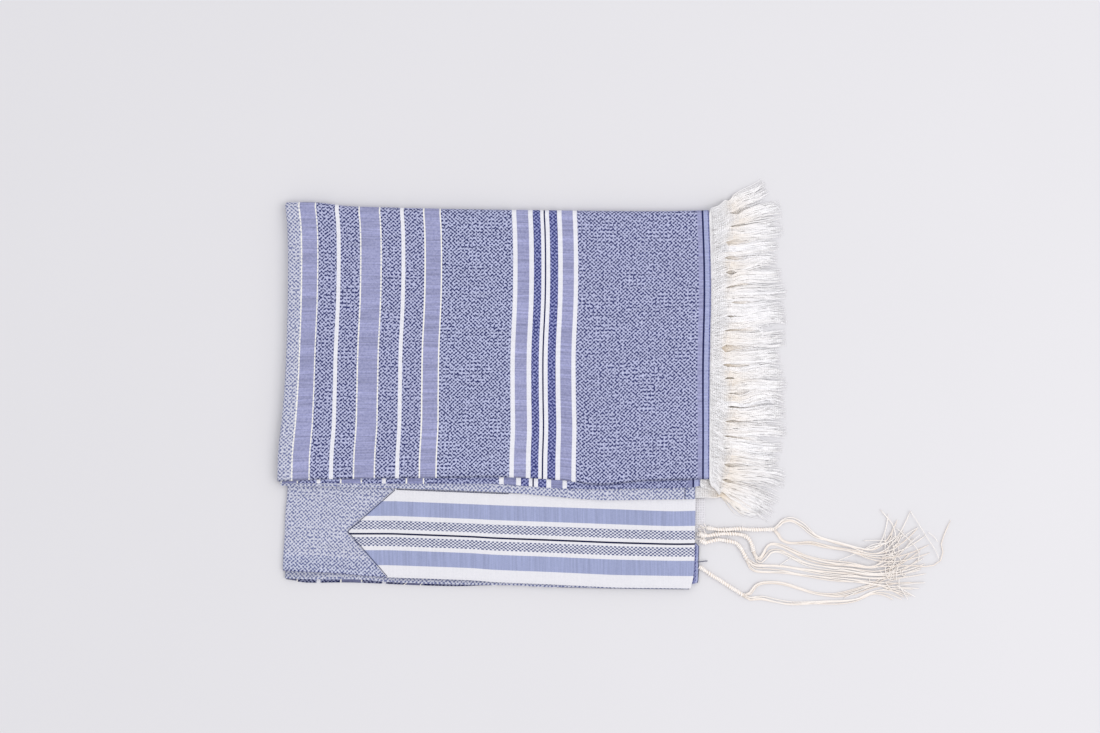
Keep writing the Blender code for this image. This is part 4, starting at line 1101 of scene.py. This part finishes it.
def strand_path(wound, route, over, level, slot, end, bend):
    """Path of one of the eight free strands, beside its neighbours and out to its end. It leaves
    the last knot over the others or under them."""
    offset = (slot - 1.5) * STRAND_PITCH
    phase, pace = chance.uniform(0, math.tau), chance.uniform(4.0, 9.0)
    start = along(wound, 1.0) + left_of(wound, 1.0) * offset * 0.5
    path = [(*start, CORD_REST_Z + (0.6 if over else -0.6))]
    for i in range(1, 34):
        share = (i / 33) ** 1.15
        x, y = along(route, share)
        left = left_of(route, share)
        wander = offset * (0.55 + 0.45 * math.sin(phase + pace * share))
        wander += 0.45 * math.sin(phase + 11 * share)
        drop = 1.3 * (1 - ease((share - 0.1) / 0.16)) if over else 0.0
        z = FLOOR_Z + drop + LEVEL * level * ease((x - MEET_FROM) / (MEET_TO - MEET_FROM))
        path.append((x + left[0] * wander, y + left[1] * wander, z))
    # Past the tangle it swings out to its end, or takes the way of its bend.
    hub = np.array(path[-1])
    way = hub - np.array(path[-3])
    way /= np.linalg.norm(way)
    control = hub[:2] + way[:2] * math.dist(hub[:2], end) * 0.45
    for s in np.linspace(0, 1, 15)[1:]:
        if bend:
            place = along([tuple(hub[:2]), *bend], s)
        else:
            place = (1 - s) ** 2 * hub[:2] + 2 * s * (1 - s) * control + s * s * np.array(end)
        path.append((*place, mix(hub[2], FLOOR_Z + 0.3 * level, ease(s))))
    return path


wool = twisted("cord_yarn", "#FAF6F3", "#EEE2D7", 3.2)
for name, level, start_z, wound, to_left, to_right, ends, bends in CORDS:
    core = [[tuple(middle) for middle, _ in wound_length(wound, start_z, 40)]]
    strands = []
    for k, end in enumerate(ends):
        route = to_left if k < 4 else to_right
        strands.append(strand_path(wound, route, k < 4, level, 3 - k % 4, end, bends.get(k)))
    # A strand thins at its cut end, and each has a tone of its own.
    taper = np.full((8, len(strands[0])), STRAND_R)
    taper[:, -1] = STRAND_R * 0.5
    shade = chance.uniform(0.25, 0.9, (8, 1))
    piece = bundled(
        name + "_cord",
        [
            # The core is fully warm: painted shade where it shows between the turns of the winding.
            spun("core", core, 1.6, 8, 1.0),
            spun("winding", [winding(wound, start_z)], WRAP_R, 5, 0.1),
            spun("strands", strands, taper, 5, shade),
        ],
        wool,
    )
    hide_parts(name)

# Single plies that have come loose where the four cords meet. Each is a route from the hub.
LOOSE = [
    [(290.6, -158.4), (279.0, -158.0), (267.5, -158.4)],
    [(290.6, -160.9), (277.8, -162.2), (266.2, -168.6), (254.7, -173.8), (240.5, -179.5)],
    [(290.6, -168.6), (290.8, -159.0), (290.6, -150.7)],
    [(326.4, -144.2), (317.5, -149.0), (308.6, -155.8)],
    [(348.4, -177.6), (344.5, -168.6), (334.3, -153.0), (326.4, -140.2), (317.6, -126.3)],
    [(327.8, -151.9), (319.5, -159.0), (311.2, -167.3)],
    [(302.2, -144.2), (316.3, -157.1), (326.4, -169.9), (326.4, -181.5)],
    [(336.8, -149.4), (342.5, -153.5), (347.1, -159.4)],
    [(306.0, -205.9), (319.9, -204.4), (333.6, -203.3)],
    [(306.0, -207.2), (311.2, -214.9), (315.0, -221.3)],
    [(303.0, -206.0), (312.0, -212.0), (322.7, -218.3)],
    [(177.6, -185.1), (184.0, -180.5), (190.5, -176.6)],
    [(247.0, -220.0), (259.8, -213.6), (273.9, -205.9), (273.9, -198.0)],
]
plies = []
for route in LOOSE:
    lift = chance.uniform(2.4, 4.6) if route[0][0] > MEET_TO else 1.6
    plies.append([(*along(route, s), lift) for s in np.linspace(0, 1, 16)])
# Where the cords meet, and where they leave the corner, they are tangled: short loops that lie
# across each other. Rows of (count, x and its spread, y and its spread, half length, height).
TANGLES = [
    (40, (299.5, 4.5), (-180.0, 13.0), (3.5, 8.0), (2.0, 4.2)),
    (24, (94.4, 2.6), (-152.0, 4.2), (2.0, 4.6), (1.6, 4.4)),
]
for count, across, down, halves, heights in TANGLES:
    for _ in range(count):
        middle = np.array((chance.normal(*across), chance.normal(*down)))
        bearing, bend = chance.uniform(0, math.pi), chance.uniform(-1.6, 1.6)
        half, lift = chance.uniform(*halves), chance.uniform(*heights)
        route = []
        for s in np.linspace(-1, 1, 16):
            way = bearing + bend * s / 2
            route.append((*(middle + half * s * np.array((math.cos(way), math.sin(way)))), lift))
        plies.append(route)
warmed = np.where(np.arange(len(plies)) < len(LOOSE), 0.1, 0.3)[:, None]
piece = bundled("loose_plies", [spun("plies", plies, 0.48, 4, warmed)], wool)


# ---------------------------------------------------------------- the sewing
# The neckband is sewn down with navy thread along its pointed end and upper edge, and with
# white thread along its hem. One end of the navy thread was left loose at the corner.

navy_yarn = twisted("navy_sewing_thread", "#22284F", "#3A416E", 1.4)
white_yarn = twisted("white_sewing_thread", "#F2F1F4", "#DAD9E4", 1.4)


def stitches(route, length, gap, lift):
    """Paths of the stitches along a route of (x, y, z of the cloth) points, each a low arch."""
    marks = marks_of(route)
    count = int(marks[-1] / (length + gap))
    paths = []
    for i in range(count):
        path = []
        for s in np.linspace(0, 1, 6):
            at = (i + 0.5) * (length + gap) + (s - 0.5) * length
            place = [np.interp(at, marks, [p[axis] for p in route]) for axis in range(3)]
            path.append((place[0], place[1], place[2] + lift * math.sin(math.pi * s) - 0.1))
        paths.append(path)
    return paths


def on_band(x, y):
    """A point of a route on the upper face of the neckband."""
    return (x, y, placed(x, y, PILE + AIR + BAND_WALL)[2] / MM)


INSIDE = 0.6  # from the ribbon's edge to the navy stitches
start_x, start_y = BAND_TIP[0] + 1.0, BAND_TIP[1]
top_end = (BAND_TOP[0][0] + 0.4, BAND_TOP[0][1] - INSIDE)
hem_end = (BAND_HEM[0][0] + INSIDE, BAND_HEM[0][1] + INSIDE)
seams = [
    [on_band(mix(start_x, x, s), mix(start_y, y, s)) for s in np.linspace(0, 1, 12)]
    for x, y in (top_end, hem_end)
]
seams.append([on_band(x, curve(BAND_TOP, x) - INSIDE) for x in np.linspace(-233.0, -112.0, 20)])
navy_paths = [path for seam in seams for path in stitches(seam, 2.5, 0.3, 0.3)]
LOOSE_END = [
    (86.0, -181.6, 1.6), (89.0, -181.3, 2.2), (92.5, -180.9, 2.6), (95.5, -180.5, 2.0),
    (98.0, -180.3, 1.2), (100.4, -180.2, 0.6),
]
sewing = bundled("navy_stitching", [spun("navy", [*navy_paths, LOOSE_END], 0.42, 5, 0.3)], navy_yarn)
hem = [on_band(x, curve(BAND_HEM, x) + 1.6) for x in np.linspace(-241.0, 78.0, 50)]
white_paths = stitches(hem, 2.2, 1.2, 0.25)
hem_sewing = bundled("white_stitching", [spun("white", white_paths, 0.22, 5, 0.3)], white_yarn)


# ---------------------------------------------------------------- the surface, light and camera
# A plain pale table top, painted matt, with a faint cloudiness. A broad soft light stands at the
# lower right, the room around is white, and the shawl is seen from straight above.

table, shader, add = matt("matt_table", 0.95, 0.1)
grain = {"Vector": add("TexCoord").outputs["Object"], "Scale": 3.0, "Detail": 3.0}
tone = {0: add("TexNoise", grain), 6: linear("#D8D7DA"), 7: linear("#DBDADD")}
join(shader, {"Base Color": add("Mix", tone, data_type="RGBA")})
bm = bmesh.new()
bmesh.ops.create_grid(bm, x_segments=8, y_segments=8, size=4.0)
mesh = mesh_of("table_top", bm)
mesh.materials.append(table)
in_scene("table_top", mesh)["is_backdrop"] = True

world = bpy.data.worlds.new("studio")
world.use_nodes = True
join(world.node_tree.nodes["Background"], {"Color": linear("#F6F6F8"), "Strength": 1.04})
bpy.context.scene.world = world

lamp = bpy.data.lights.new("softbox", "AREA")
lamp.shape = "RECTANGLE"
lamp.size, lamp.size_y = 2.2, 2.0
lamp.energy = 24.0
lamp.color = (1.0, 0.985, 0.97)
softbox = in_scene("softbox", lamp)
softbox.location = (1.6, -0.35, 2.4)
softbox.rotation_euler = (-softbox.location).to_track_quat("-Z", "Y").to_euler()

LENS, SENSOR = 85.0, 36.0  # mm
FRAME_WIDTH = 1.177  # what the camera sees across, in metres
lens = bpy.data.cameras.new("camera")
lens.lens, lens.sensor_width = LENS, SENSOR
lens.clip_end = 20.0
camera = in_scene("camera", lens)
camera.location = (-0.0685, 0.0284, FRAME_WIDTH * LENS / SENSOR + 0.008)
bpy.context.scene.camera = camera
bpy.context.scene.view_settings.view_transform = "Standard"

boxes = {"cad": cad_box, "visual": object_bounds()}
{name: [list(corner) for corner in box] for name, box in boxes.items()}
